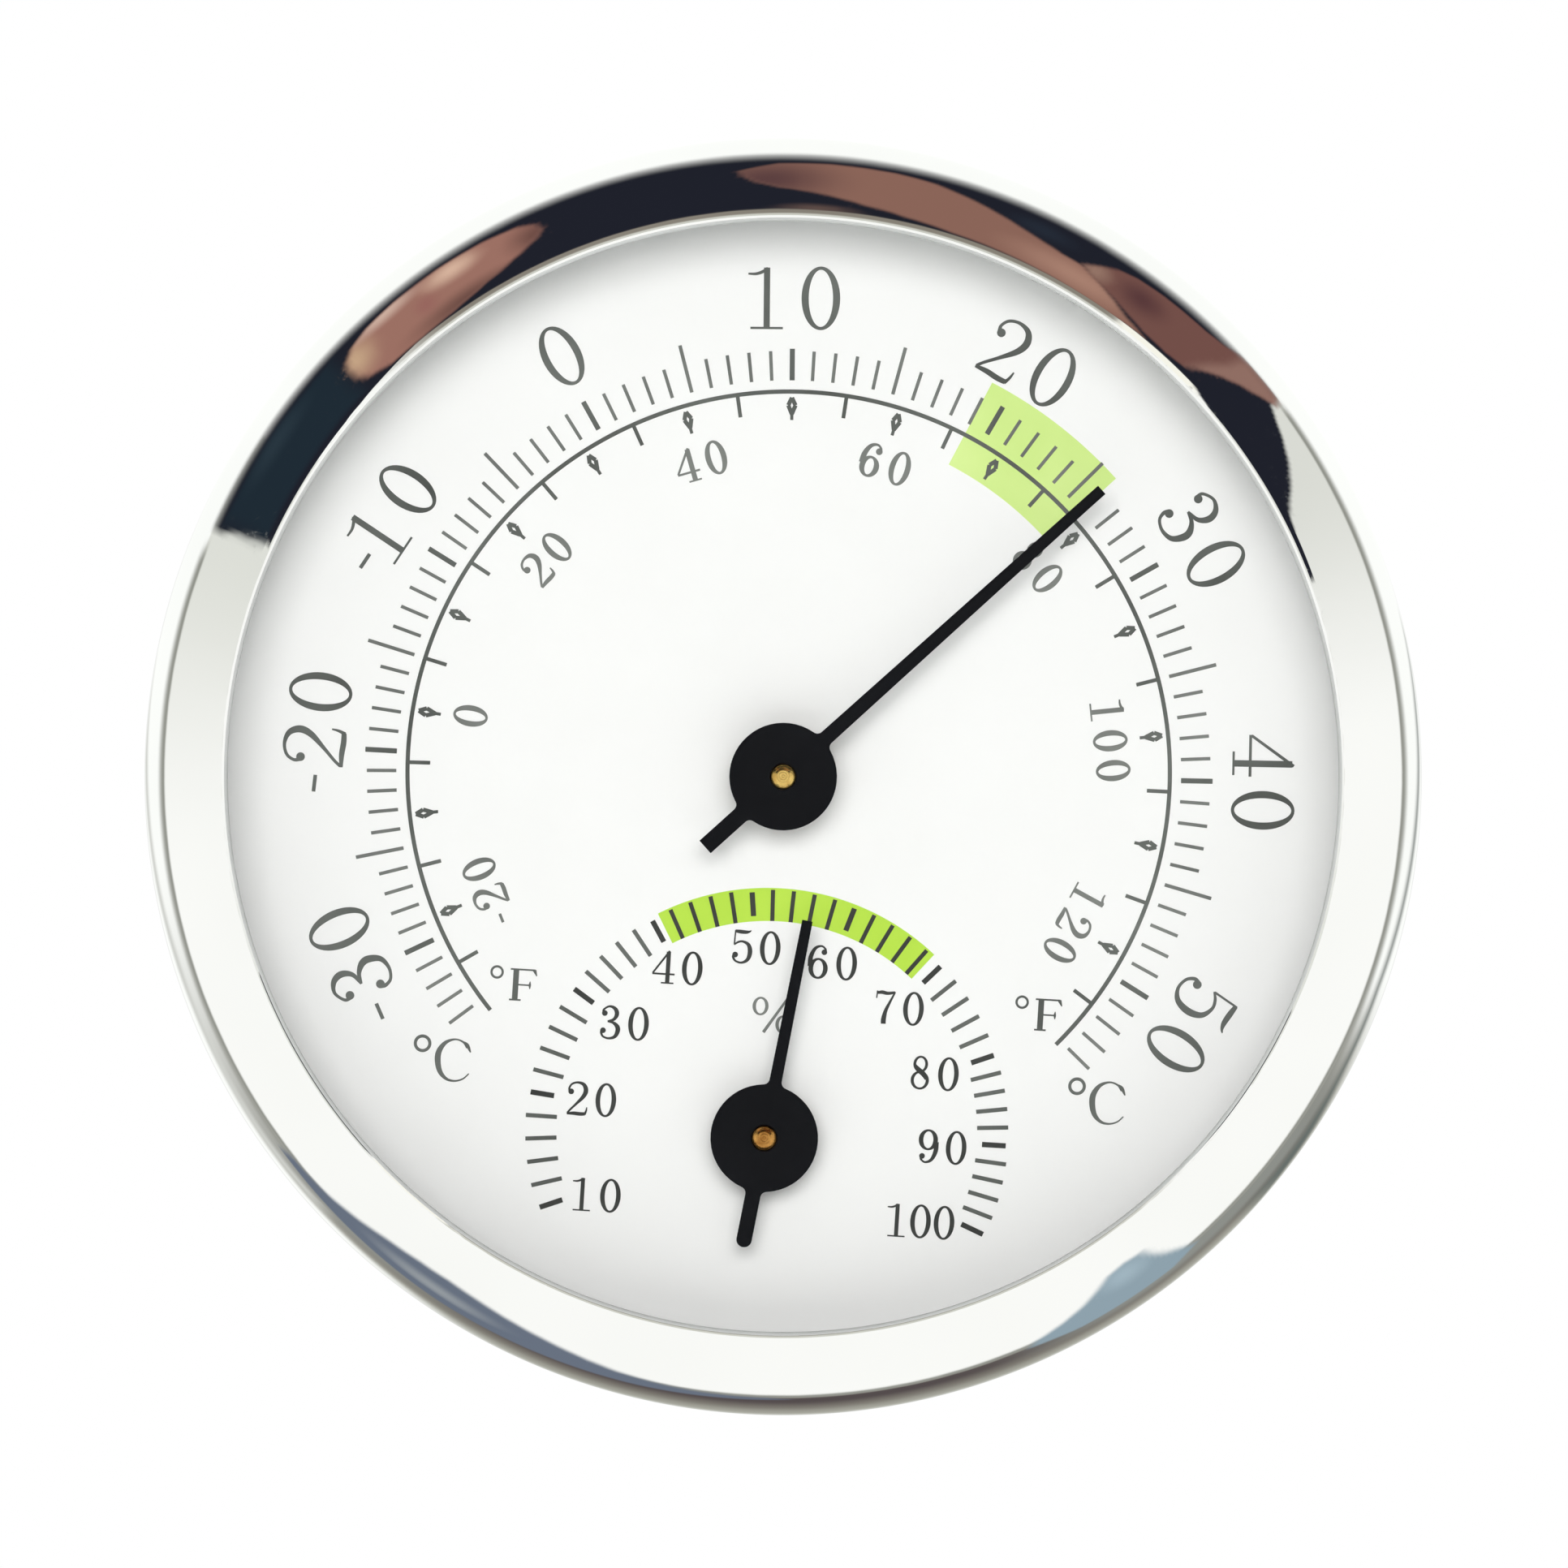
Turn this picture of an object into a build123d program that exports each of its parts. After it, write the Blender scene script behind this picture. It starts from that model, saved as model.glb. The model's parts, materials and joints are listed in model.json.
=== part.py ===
from build123d import *

import os
from dataclasses import dataclass
from math import cos, radians, sin, sqrt

# Dial hygrometer with a thermometer on the same dial, hung on a wall.
#
# Frame, in millimetres: +Z points to the dial's twelve o'clock, the dial faces -Y, and the origin is the
# centre of the back, on the wall. A depth is a distance in front of the wall, so depth d lies at y = -d.
# Angles on the dial are degrees clockwise from twelve o'clock, as a reader of the dial sees them.

# --- case ---
case_radius = 30.25
case_depth = 13.0
bezel_sheet = 0.45
shoulder_radius = 2.83  # round from the side wall up to the crown
crown_radius = 5.75  # flatter round across the front of the ring
brow_radius = 1.0  # from the crown over the highest line to the lip
lip_radius = 0.2  # the inner edge itself
crown_outer_tilt = 45.0  # the surface's tilt where shoulder and crown meet
crown_inner_tilt = 15.0  # the surface's tilt where the crown meets the brow
brow_inner_tilt = -8.0  # the surface's tilt where the brow meets the lip
seat_tilt = 18.1  # the crown's underside stops here, above the lens gasket

# --- lens, gasket and rings ---
lens_radius = 28.0
lens_thickness = 1.1
lens_edge_depth = 11.55  # front of the lens at its edge
lens_dome = 0.7
gasket_inner_radius = 27.0
gasket_outer_radius = 28.8
gasket_play = 0.05
gasket_ledge_rise = 0.1  # the gasket's ledge in front of the lens's edge
gasket_foot_drop = 0.8  # how far the gasket reaches down the lens's side
spacer_inner_radius = 26.8
spacer_outer_radius = 29.3
spacer_front_depth = 10.4
spacer_chamfer = 0.2
support_inner_radius = 28.0
support_outer_radius = 29.1

# --- dial ---
dial_radius = 29.3
dial_front_depth = 8.0
dial_sheet = 0.5

# --- back cover ---
back_sheet = 0.6
back_flange_radius = 30.1
back_step_outer_radius = 25.6
back_step_inner_radius = 25.0
back_recess = 0.5
back_rim_fillet = 0.25
skirt_outer_radius = 29.75
skirt_inner_radius = 29.15
skirt_depth = 2.6
vent_radius = 0.8
vent_circle_radius = 23.2
vent_count = 24
sensor_vent_circle_radius = 4.6
sensor_vent_count = 8
sensor_vent_start = 22.5
access_radius = 2.3
keyhole_radius = 2.6
keyhole_height = 14.5
keyhole_slot_width = 2.4
keyhole_slot_rise = 5.0

# --- both movements: depths from back to front ---
screw_back_depth = 0.75
washer_depth = 1.75
bridge_depth = 1.9
bridge_sheet = 0.7
arm_depth = 2.65
arm_sheet = 0.4
pivot_depth = 2.95
screw_front_depth = 3.6
arbor_shoulder_depth = 3.75
coil_depth = 3.75
coil_width = 3.0
collet_depth = 4.2
collet_width = 1.6
neck_depth = 7.05
bush_flange = 0.35
bush_front_depth = 8.25
boss_depth = 8.45
pointer_sheet = 0.25
arbor_proud = 0.35  # the domed end stands this far out of the pointer

# --- both movements: radii and widths ---
running_play = 0.03
fixed_play = 0.01
pivot_radius = 0.42
arbor_radius = 0.75
neck_radius = 0.62
bush_radius = 1.3
bush_flange_radius = 2.0
boss_radius = 1.1
hub_radius = 2.55
hub_fillet = 0.3
collet_radius = 1.5
screw_head_radius = 1.9
screw_head_fillet = 0.15
screw_shank_radius = 1.5
screw_boss_radius = 1.2
screw_slot_width = 0.6
screw_slot_depth = 0.5
pivot_hole_depth = 0.85
washer_outer_radius = 1.85
bridge_width = 4.6
post_spacing = 21.0
post_radius = 1.2
post_hole_depth = 3.0
small_screw_radius = 0.68
small_screw_length = 3.3
small_head_radius = 1.45
small_head_height = 0.45
small_head_fillet = 0.2
small_slot_width = 0.4
small_slot_depth = 0.22
small_slot_angle = 35
bridge_hole_radius = 0.9

# --- coils ---
strip = 0.2
coil_start_radius = 1.75
coil_pitch = 1.2
coil_half_turns = 10
coil_tab = 0.8
coil_end = coil_start_radius + coil_half_turns * coil_pitch / 2  # distance of the outer end from the arbor
strip_slot = 0.3
pin_stem_radius = 0.45
pin_radius = 0.6
pin_slot_depth = 3.5
pin_front_depth = 6.85
arm_width = 1.6
arm_hub_radius = 2.3
arm_end_radius = 0.95


@dataclass
class Movement:
    """One pointer with everything that carries and turns it."""

    name: str
    x: float  # arbor, in the dial's plane
    z: float
    reading_angle: float  # the pointer's direction at rest
    arm_angle: float  # the coil arm's direction
    pointer_depth: float  # back face of the pointer
    blade_length: float
    blade_root_width: float
    blade_tip_width: float
    tail_length: float
    tail_width: float
    tail_rounded: bool


movements = [
    Movement(
        "temperature", x=0.0, z=0.0, reading_angle=44.5, arm_angle=-35.0, pointer_depth=9.95,
        blade_length=20.3, blade_root_width=0.73, blade_tip_width=0.52,
        tail_length=4.98, tail_width=0.8, tail_rounded=False,
    ),
    Movement(
        "humidity", x=0.15, z=-17.15, reading_angle=7.75, arm_angle=125.0, pointer_depth=9.4,
        blade_length=10.5, blade_root_width=0.62, blade_tip_width=0.5,
        tail_length=5.26, tail_width=0.73, tail_rounded=True,
    ),
]

# Derived depths of the case.
shoulder_rise = shoulder_radius * sin(radians(crown_outer_tilt))
crown_rise = crown_radius * (cos(radians(crown_inner_tilt)) - cos(radians(crown_outer_tilt)))
brow_rise = brow_radius * (1 - cos(radians(crown_inner_tilt)))
shoulder_depth = case_depth - shoulder_rise - crown_rise - brow_rise
crown_centre_radius = (
    case_radius
    - shoulder_radius * (1 - cos(radians(crown_outer_tilt)))
    - crown_radius * sin(radians(crown_outer_tilt))
)
crown_centre_depth = shoulder_depth + shoulder_rise - crown_radius * cos(radians(crown_outer_tilt))
dial_back_depth = dial_front_depth - dial_sheet


def facing(depth):
    """A plane parallel to the dial, at a depth; sketches on it read as from the front."""
    return Plane.XZ.offset(depth)


def turned(movement, depth, angle):
    """A plane parallel to the dial on a movement's arbor, with its y axis at a dial angle."""
    return Plane(
        origin=(movement.x, -depth, movement.z),
        x_dir=(cos(radians(angle)), 0, -sin(radians(angle))),
        z_dir=(0, -1, 0),
    )


os.makedirs("parts", exist_ok=True)

# ---------------------------------------------------------------- bezel
# One spun sheet: side wall, rounded shoulder, convex crown, and a brow that turns down to the lip.
with BuildPart() as bezel:
    with BuildSketch(Plane.XY):
        with BuildLine():
            wall = Line((case_radius, -back_sheet), (case_radius, -shoulder_depth))
            shoulder = JernArc(wall @ 1, wall % 1, shoulder_radius, -crown_outer_tilt)
            crown = JernArc(shoulder @ 1, shoulder % 1, crown_radius, crown_inner_tilt - crown_outer_tilt)
            brow = JernArc(crown @ 1, crown % 1, brow_radius, brow_inner_tilt - crown_inner_tilt)
            lip = JernArc(brow @ 1, brow % 1, lip_radius, -(90 + brow_inner_tilt))
            inner_wall = Line(
                (case_radius - bezel_sheet, -back_sheet), (case_radius - bezel_sheet, -shoulder_depth)
            )
            inner_shoulder = JernArc(
                inner_wall @ 1, inner_wall % 1, shoulder_radius - bezel_sheet, -crown_outer_tilt
            )
            inner_crown = JernArc(
                inner_shoulder @ 1,
                inner_shoulder % 1,
                crown_radius - bezel_sheet,
                seat_tilt - crown_outer_tilt,
            )
            lip_back = Line(lip @ 1, ((lip @ 1).X, (inner_crown @ 1).Y))
            Line(lip_back @ 1, inner_crown @ 1)
            Line(inner_wall @ 0, wall @ 0)
        make_face()
    revolve(axis=Axis.Y)
bezel.part.label = "bezel"
export_step(bezel.part, "parts/bezel.step")

# ---------------------------------------------------------------- lens
with BuildPart() as lens:
    with BuildSketch(Plane.XY):
        with BuildLine():
            lens_front = ThreePointArc(
                (-lens_radius, -lens_edge_depth),
                (0, -lens_edge_depth - lens_dome),
                (lens_radius, -lens_edge_depth),
            )
            lens_rear = ThreePointArc(
                (-lens_radius, -lens_edge_depth + lens_thickness),
                (0, -lens_edge_depth - lens_dome + lens_thickness),
                (lens_radius, -lens_edge_depth + lens_thickness),
            )
            Line(lens_front @ 0, lens_rear @ 0)
            Line(lens_front @ 1, lens_rear @ 1)
        make_face()
        with Locations((-lens_radius, -lens_edge_depth)):
            Rectangle(2 * lens_radius, 2 * case_depth, mode=Mode.SUBTRACT)
    revolve(axis=Axis.Y)
lens.part.label = "lens"
export_step(lens.part, "parts/lens.step")


# ---------------------------------------------------------------- lens gasket
# An L section: over the lens's front edge and down its side, with a top that follows the crown's underside.
def gasket_top(radius):
    """Depth of the gasket's top at a radius: just under the crown."""
    reach = crown_radius - bezel_sheet - gasket_play
    return crown_centre_depth + sqrt(reach**2 - (radius - crown_centre_radius) ** 2)


with BuildPart() as lens_gasket:
    middle_radius = (gasket_inner_radius + gasket_outer_radius) / 2
    ledge_depth = lens_edge_depth + gasket_ledge_rise
    foot_depth = lens_edge_depth - gasket_foot_drop
    with BuildSketch(Plane.XY):
        with BuildLine():
            top = ThreePointArc(
                (gasket_inner_radius, -gasket_top(gasket_inner_radius)),
                (middle_radius, -gasket_top(middle_radius)),
                (gasket_outer_radius, -gasket_top(gasket_outer_radius)),
            )
            Polyline(
                top @ 1,
                (gasket_outer_radius, -foot_depth),
                (lens_radius + gasket_play, -foot_depth),
                (lens_radius + gasket_play, -ledge_depth),
                (gasket_inner_radius, -ledge_depth),
                top @ 0,
            )
        make_face()
    revolve(axis=Axis.Y)
lens_gasket.part.label = "lens_gasket"
export_step(lens_gasket.part, "parts/lens_gasket.step")

# ---------------------------------------------------------------- rings behind the lens and the dial
with BuildPart() as spacer_ring:
    with BuildSketch(facing(dial_front_depth)):
        Circle(spacer_outer_radius)
        Circle(spacer_inner_radius, mode=Mode.SUBTRACT)
    extrude(amount=spacer_front_depth - dial_front_depth)
    chamfer(spacer_ring.faces().sort_by(Axis.Y)[0].edges(), length=spacer_chamfer)
spacer_ring.part.label = "spacer_ring"
export_step(spacer_ring.part, "parts/spacer_ring.step")

with BuildPart() as dial_support_ring:
    with BuildSketch(facing(back_sheet)):
        Circle(support_outer_radius)
        Circle(support_inner_radius, mode=Mode.SUBTRACT)
    extrude(amount=dial_back_depth - back_sheet)
dial_support_ring.part.label = "dial_support_ring"
export_step(dial_support_ring.part, "parts/dial_support_ring.step")

# ---------------------------------------------------------------- dial plate
with BuildPart() as dial_plate:
    with BuildSketch(facing(dial_back_depth)):
        Circle(dial_radius)
        with Locations(*[(movement.x, movement.z) for movement in movements]):
            Circle(bush_radius + fixed_play, mode=Mode.SUBTRACT)
    extrude(amount=dial_sheet)
dial_plate.part.label = "dial_plate"
export_step(dial_plate.part, "parts/dial_plate.step")

# ---------------------------------------------------------------- back cover
# A pressed lid: flat flange on the wall, shallow recess inside it, and a skirt that plugs into the bezel.
with BuildPart() as back_cover:
    with BuildSketch(Plane.XY):
        with BuildLine():
            Polyline(
                (0, -back_recess),
                (back_step_inner_radius, -back_recess),
                (back_step_outer_radius, 0),
                (back_flange_radius, 0),
                (back_flange_radius, -back_sheet),
                (skirt_outer_radius, -back_sheet),
                (skirt_outer_radius, -skirt_depth),
                (skirt_inner_radius, -skirt_depth),
                (skirt_inner_radius, -back_sheet),
                (back_step_outer_radius + back_recess / 2, -back_sheet),
                (back_step_inner_radius + back_recess / 2, -back_sheet - back_recess),
                (0, -back_sheet - back_recess),
                close=True,
            )
        make_face()
    revolve(axis=Axis.Y)
    rim_edge = back_cover.edges().filter_by(GeomType.CIRCLE).sort_by(SortBy.RADIUS)[-2:].sort_by(Axis.Y)[-1]
    fillet(rim_edge, radius=back_rim_fillet)
    with BuildSketch(facing(0)):
        with PolarLocations(vent_circle_radius, vent_count):
            Circle(vent_radius)
        with Locations((movements[1].x, movements[1].z)):
            with PolarLocations(sensor_vent_circle_radius, sensor_vent_count, sensor_vent_start):
                Circle(vent_radius)
        with Locations(*[(movement.x, movement.z) for movement in movements]):
            Circle(access_radius)
        with Locations((0, keyhole_height)):
            Circle(keyhole_radius)
        with Locations((0, keyhole_height + keyhole_slot_rise / 2)):
            SlotCenterToCenter(keyhole_slot_rise, keyhole_slot_width, rotation=90)
    extrude(amount=case_depth, mode=Mode.SUBTRACT)
back_cover.part.label = "back_cover"
export_step(back_cover.part, "parts/back_cover.step")

# ---------------------------------------------------------------- the two movements
for movement in movements:
    axis_point = (movement.x, movement.z)
    post_points = [(movement.x + side * post_spacing / 2, movement.z) for side in (-1, 1)]
    pointer_front_depth = movement.pointer_depth + pointer_sheet

    # Brass bush, pressed into the dial from behind.
    with BuildPart() as front_bush:
        with BuildSketch(facing(dial_back_depth - bush_flange)):
            with Locations(axis_point):
                Circle(bush_flange_radius)
        extrude(amount=bush_flange)
        with BuildSketch(facing(dial_back_depth)):
            with Locations(axis_point):
                Circle(bush_radius)
        extrude(amount=bush_front_depth - dial_back_depth)
        with BuildSketch(facing(dial_back_depth - bush_flange)):
            with Locations(axis_point):
                Circle(neck_radius + running_play)
        extrude(amount=bush_front_depth, mode=Mode.SUBTRACT)
    front_bush.part.label = f"{movement.name}_front_bush"
    export_step(front_bush.part, f"parts/{movement.name}_front_bush.step")

    # Stamped strip across the back of the movement.
    with BuildPart() as bridge:
        with BuildSketch(facing(bridge_depth)):
            with Locations(axis_point):
                SlotCenterToCenter(post_spacing, bridge_width)
                Circle(screw_shank_radius + running_play, mode=Mode.SUBTRACT)
            with Locations(*post_points):
                Circle(bridge_hole_radius, mode=Mode.SUBTRACT)
        extrude(amount=bridge_sheet)
    bridge.part.label = f"{movement.name}_bridge"
    export_step(bridge.part, f"parts/{movement.name}_bridge.step")

    # Two studs on the dial's back, drilled for the screws.
    with BuildPart() as bridge_posts:
        with BuildSketch(facing(bridge_depth + bridge_sheet)):
            with Locations(*post_points):
                Circle(post_radius)
        extrude(amount=dial_back_depth - bridge_depth - bridge_sheet)
        with BuildSketch(facing(bridge_depth + bridge_sheet)):
            with Locations(*post_points):
                Circle(small_screw_radius + running_play)
        extrude(amount=post_hole_depth, mode=Mode.SUBTRACT)
    bridge_posts.part.label = f"{movement.name}_bridge_posts"
    export_step(bridge_posts.part, f"parts/{movement.name}_bridge_posts.step")

    # Two slotted screws that hold the strip on the studs.
    with BuildPart() as bridge_screws:
        with BuildSketch(facing(bridge_depth - small_head_height)):
            with Locations(*post_points):
                Circle(small_head_radius)
        extrude(amount=small_head_height)
        fillet(bridge_screws.faces().sort_by(Axis.Y)[-2:].edges(), radius=small_head_fillet)
        with BuildSketch(facing(bridge_depth)):
            with Locations(*post_points):
                Circle(small_screw_radius)
        extrude(amount=small_screw_length)
        with BuildSketch(facing(bridge_depth - small_head_height)):
            with Locations(*post_points):
                Rectangle(2 * small_head_radius, small_slot_width, rotation=small_slot_angle)
        extrude(amount=small_slot_depth, mode=Mode.SUBTRACT)
    bridge_screws.part.label = f"{movement.name}_bridge_screws"
    export_step(bridge_screws.part, f"parts/{movement.name}_bridge_screws.step")

    # Slotted friction piece: head, shank in the bridge, and a boss with the arbor's rear bearing.
    with BuildPart() as calibration_screw:
        with BuildSketch(facing(screw_back_depth)):
            with Locations(axis_point):
                Circle(screw_head_radius)
        extrude(amount=washer_depth - screw_back_depth)
        fillet(calibration_screw.faces().sort_by(Axis.Y)[-1].edges(), radius=screw_head_fillet)
        with BuildSketch(facing(washer_depth)):
            with Locations(axis_point):
                Circle(screw_shank_radius)
        extrude(amount=arm_depth - washer_depth)
        with BuildSketch(facing(arm_depth)):
            with Locations(axis_point):
                Circle(screw_boss_radius)
        extrude(amount=screw_front_depth - arm_depth)
        with BuildSketch(facing(screw_front_depth - pivot_hole_depth)):
            with Locations(axis_point):
                Circle(pivot_radius + running_play)
        extrude(amount=pivot_hole_depth, mode=Mode.SUBTRACT)
        with BuildSketch(turned(movement, screw_back_depth, movement.arm_angle)):
            Rectangle(screw_slot_width, 2 * screw_head_radius)
        extrude(amount=screw_slot_depth, mode=Mode.SUBTRACT)
    calibration_screw.part.label = f"{movement.name}_calibration_screw"
    export_step(calibration_screw.part, f"parts/{movement.name}_calibration_screw.step")

    # Thin spring washer between the head and the strip.
    with BuildPart() as friction_washer:
        with BuildSketch(facing(washer_depth)):
            with Locations(axis_point):
                Circle(washer_outer_radius)
                Circle(screw_shank_radius + running_play, mode=Mode.SUBTRACT)
        extrude(amount=bridge_depth - washer_depth)
    friction_washer.part.label = f"{movement.name}_friction_washer"
    export_step(friction_washer.part, f"parts/{movement.name}_friction_washer.step")

    # Lever staked on the boss, reaching out past the coil.
    with BuildPart() as coil_arm:
        with BuildSketch(turned(movement, arm_depth, movement.arm_angle)):
            Circle(arm_hub_radius)
            with Locations((0, coil_end / 2)):
                Rectangle(arm_width, coil_end)
            with Locations((0, coil_end)):
                Circle(arm_end_radius)
                Circle(pin_stem_radius + fixed_play, mode=Mode.SUBTRACT)
            Circle(screw_boss_radius + fixed_play, mode=Mode.SUBTRACT)
        extrude(amount=arm_sheet)
    coil_arm.part.label = f"{movement.name}_coil_arm"
    export_step(coil_arm.part, f"parts/{movement.name}_coil_arm.step")

    # Slotted pin at the lever's end; the coil's outer end passes through the slot.
    with BuildPart() as coil_pin:
        with BuildSketch(turned(movement, arm_depth, movement.arm_angle)):
            with Locations((0, coil_end)):
                Circle(pin_stem_radius)
        extrude(amount=arm_sheet)
        with BuildSketch(turned(movement, arm_depth + arm_sheet, movement.arm_angle)):
            with Locations((0, coil_end)):
                Circle(pin_radius)
        extrude(amount=pin_front_depth - arm_depth - arm_sheet)
        with BuildSketch(turned(movement, pin_slot_depth, movement.arm_angle)):
            with Locations((0, coil_end)):
                Rectangle(2 * pin_radius, strip_slot)
        extrude(amount=pin_front_depth - pin_slot_depth, mode=Mode.SUBTRACT)
    coil_pin.part.label = f"{movement.name}_coil_pin"
    export_step(coil_pin.part, f"parts/{movement.name}_coil_pin.step")

    # Spiral strip of half turns: their centres alternate, and each is half a pitch larger than the last.
    with BuildPart() as coil:
        with BuildSketch(turned(movement, coil_depth, movement.arm_angle)):
            for half_turn in range(coil_half_turns):
                centre = (0, coil_pitch / 2 * (half_turn % 2))
                radius = coil_start_radius + half_turn * coil_pitch / 2
                start = 90 + 180 * (half_turn % 2)
                with BuildLine():
                    outside = CenterArc(centre, radius + strip / 2, start, 180)
                    inside = CenterArc(centre, radius - strip / 2, start, 180)
                    Line(outside @ 0, inside @ 0)
                    Line(outside @ 1, inside @ 1)
                make_face()
            with Locations((strip / 2, coil_start_radius + strip / 2 - coil_tab / 2)):
                Rectangle(strip, coil_tab)
            with Locations((-coil_tab / 2, coil_end)):
                Rectangle(coil_tab, strip)
        extrude(amount=coil_width)
    coil.part.label = f"{movement.name}_coil"
    export_step(coil.part, f"parts/{movement.name}_coil.step")

    # Brass disc on the arbor, slotted for the coil's inner end.
    with BuildPart() as coil_collet:
        with BuildSketch(turned(movement, collet_depth, movement.arm_angle)):
            Circle(collet_radius)
            Circle(arbor_radius + fixed_play, mode=Mode.SUBTRACT)
            with Locations((strip / 2, collet_radius)):
                Rectangle(strip_slot, 2 * (collet_radius - arbor_radius) - strip, mode=Mode.SUBTRACT)
        extrude(amount=collet_width)
    coil_collet.part.label = f"{movement.name}_coil_collet"
    export_step(coil_collet.part, f"parts/{movement.name}_coil_collet.step")

    # Stepped shaft: rear pivot, body, and a neck through the bush, domed in front of the pointer.
    with BuildPart() as arbor:
        with BuildSketch(facing(pivot_depth)):
            with Locations(axis_point):
                Circle(pivot_radius)
        extrude(amount=arbor_shoulder_depth - pivot_depth)
        with BuildSketch(facing(arbor_shoulder_depth)):
            with Locations(axis_point):
                Circle(arbor_radius)
        extrude(amount=neck_depth - arbor_shoulder_depth)
        with BuildSketch(facing(neck_depth)):
            with Locations(axis_point):
                Circle(neck_radius)
        extrude(amount=pointer_front_depth + arbor_proud - neck_depth)
        fillet(arbor.faces().sort_by(Axis.Y)[0].edges(), radius=arbor_proud)
    arbor.part.label = f"{movement.name}_arbor"
    export_step(arbor.part, f"parts/{movement.name}_arbor.step")

    # Brass tube that carries the pointer on the neck.
    with BuildPart() as pointer_boss:
        with BuildSketch(facing(boss_depth)):
            with Locations(axis_point):
                Circle(boss_radius)
                Circle(neck_radius + fixed_play, mode=Mode.SUBTRACT)
        extrude(amount=movement.pointer_depth - boss_depth)
    pointer_boss.part.label = f"{movement.name}_pointer_boss"
    export_step(pointer_boss.part, f"parts/{movement.name}_pointer_boss.step")

    # Stamped pointer: tapered blade, round hub, and a parallel tail.
    with BuildPart() as pointer:
        with BuildSketch(turned(movement, movement.pointer_depth, movement.reading_angle)) as pointer_outline:
            Circle(hub_radius)
            with BuildLine():
                Polyline(
                    (-movement.blade_root_width / 2, 0),
                    (-movement.blade_tip_width / 2, movement.blade_length),
                    (movement.blade_tip_width / 2, movement.blade_length),
                    (movement.blade_root_width / 2, 0),
                    close=True,
                )
            make_face()
            tail_straight = movement.tail_length - movement.tail_width / 2 * movement.tail_rounded
            with Locations((0, -tail_straight / 2)):
                Rectangle(movement.tail_width, tail_straight)
            if movement.tail_rounded:
                with Locations((0, -tail_straight)):
                    Circle(movement.tail_width / 2)
            corners = [
                vertex
                for vertex in pointer_outline.vertices()
                if abs(sqrt(vertex.X**2 + vertex.Y**2) - hub_radius) < hub_fillet / 10
            ]
            fillet(corners, radius=hub_fillet)
            Circle(neck_radius + fixed_play, mode=Mode.SUBTRACT)
        extrude(amount=pointer_sheet)
    pointer.part.label = f"{movement.name}_pointer"
    export_step(pointer.part, f"parts/{movement.name}_pointer.step")
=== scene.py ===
"""Looks of the dial hygrometer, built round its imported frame. Metres, +Z up, the dial faces -Y.

Drawing on the dial is done in millimetres: x to the reader's right, z up, and dial angles clockwise from
twelve o'clock, in degrees.
"""

import json
import math

import bpy
import numpy as np
from mathutils import Matrix, Vector
from mathutils.geometry import delaunay_2d_cdt


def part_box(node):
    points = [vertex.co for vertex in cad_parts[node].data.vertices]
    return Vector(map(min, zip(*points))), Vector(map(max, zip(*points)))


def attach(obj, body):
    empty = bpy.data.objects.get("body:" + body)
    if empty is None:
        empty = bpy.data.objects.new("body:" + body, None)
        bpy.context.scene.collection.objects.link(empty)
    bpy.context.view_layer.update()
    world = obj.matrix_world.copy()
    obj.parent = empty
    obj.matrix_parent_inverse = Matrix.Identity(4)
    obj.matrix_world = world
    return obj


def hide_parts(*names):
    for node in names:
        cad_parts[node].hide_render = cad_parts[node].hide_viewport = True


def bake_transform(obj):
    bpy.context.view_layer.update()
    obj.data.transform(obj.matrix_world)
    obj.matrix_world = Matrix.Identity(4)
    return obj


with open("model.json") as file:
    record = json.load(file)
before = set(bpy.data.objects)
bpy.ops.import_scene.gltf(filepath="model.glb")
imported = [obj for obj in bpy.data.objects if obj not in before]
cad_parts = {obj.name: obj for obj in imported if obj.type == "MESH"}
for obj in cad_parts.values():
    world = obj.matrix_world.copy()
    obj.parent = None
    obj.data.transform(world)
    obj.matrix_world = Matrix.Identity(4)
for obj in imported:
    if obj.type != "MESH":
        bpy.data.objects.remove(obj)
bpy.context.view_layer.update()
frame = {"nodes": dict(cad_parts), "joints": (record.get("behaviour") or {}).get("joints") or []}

MM = 0.001
JOINTS = {joint["name"]: joint for joint in frame["joints"]}
DIAL_FRONT = -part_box("dial_plate")[0].y / MM  # depth of the dial's face in front of the wall
MOVEMENTS = ("temperature", "humidity")
AXES = {
    movement: (
        JOINTS[movement + "_reading"]["pos_m"][0] / MM,
        JOINTS[movement + "_reading"]["pos_m"][2] / MM,
    )
    for movement in MOVEMENTS
}


# ---------------------------------------------------------------- meshes
def new_object(name, vertices, faces, smooth=False):
    """A mesh object from millimetre points (x, depth in front of the wall, z)."""
    mesh = bpy.data.meshes.new(name)
    mesh.from_pydata([(x * MM, -depth * MM, z * MM) for x, depth, z in vertices], [], faces)
    mesh.validate()
    mesh.polygons.foreach_set("use_smooth", [smooth] * len(mesh.polygons))
    thing = bpy.data.objects.new(name, mesh)
    bpy.context.scene.collection.objects.link(thing)
    return thing


def arc(centre, radii, start, stop, count):
    """Points on an ellipse's arc, angles in degrees counter-clockwise from +x."""
    angles = np.radians(np.linspace(start, stop, count))
    return [(centre[0] + radii[0] * math.cos(a), centre[1] + radii[1] * math.sin(a)) for a in angles]


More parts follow.
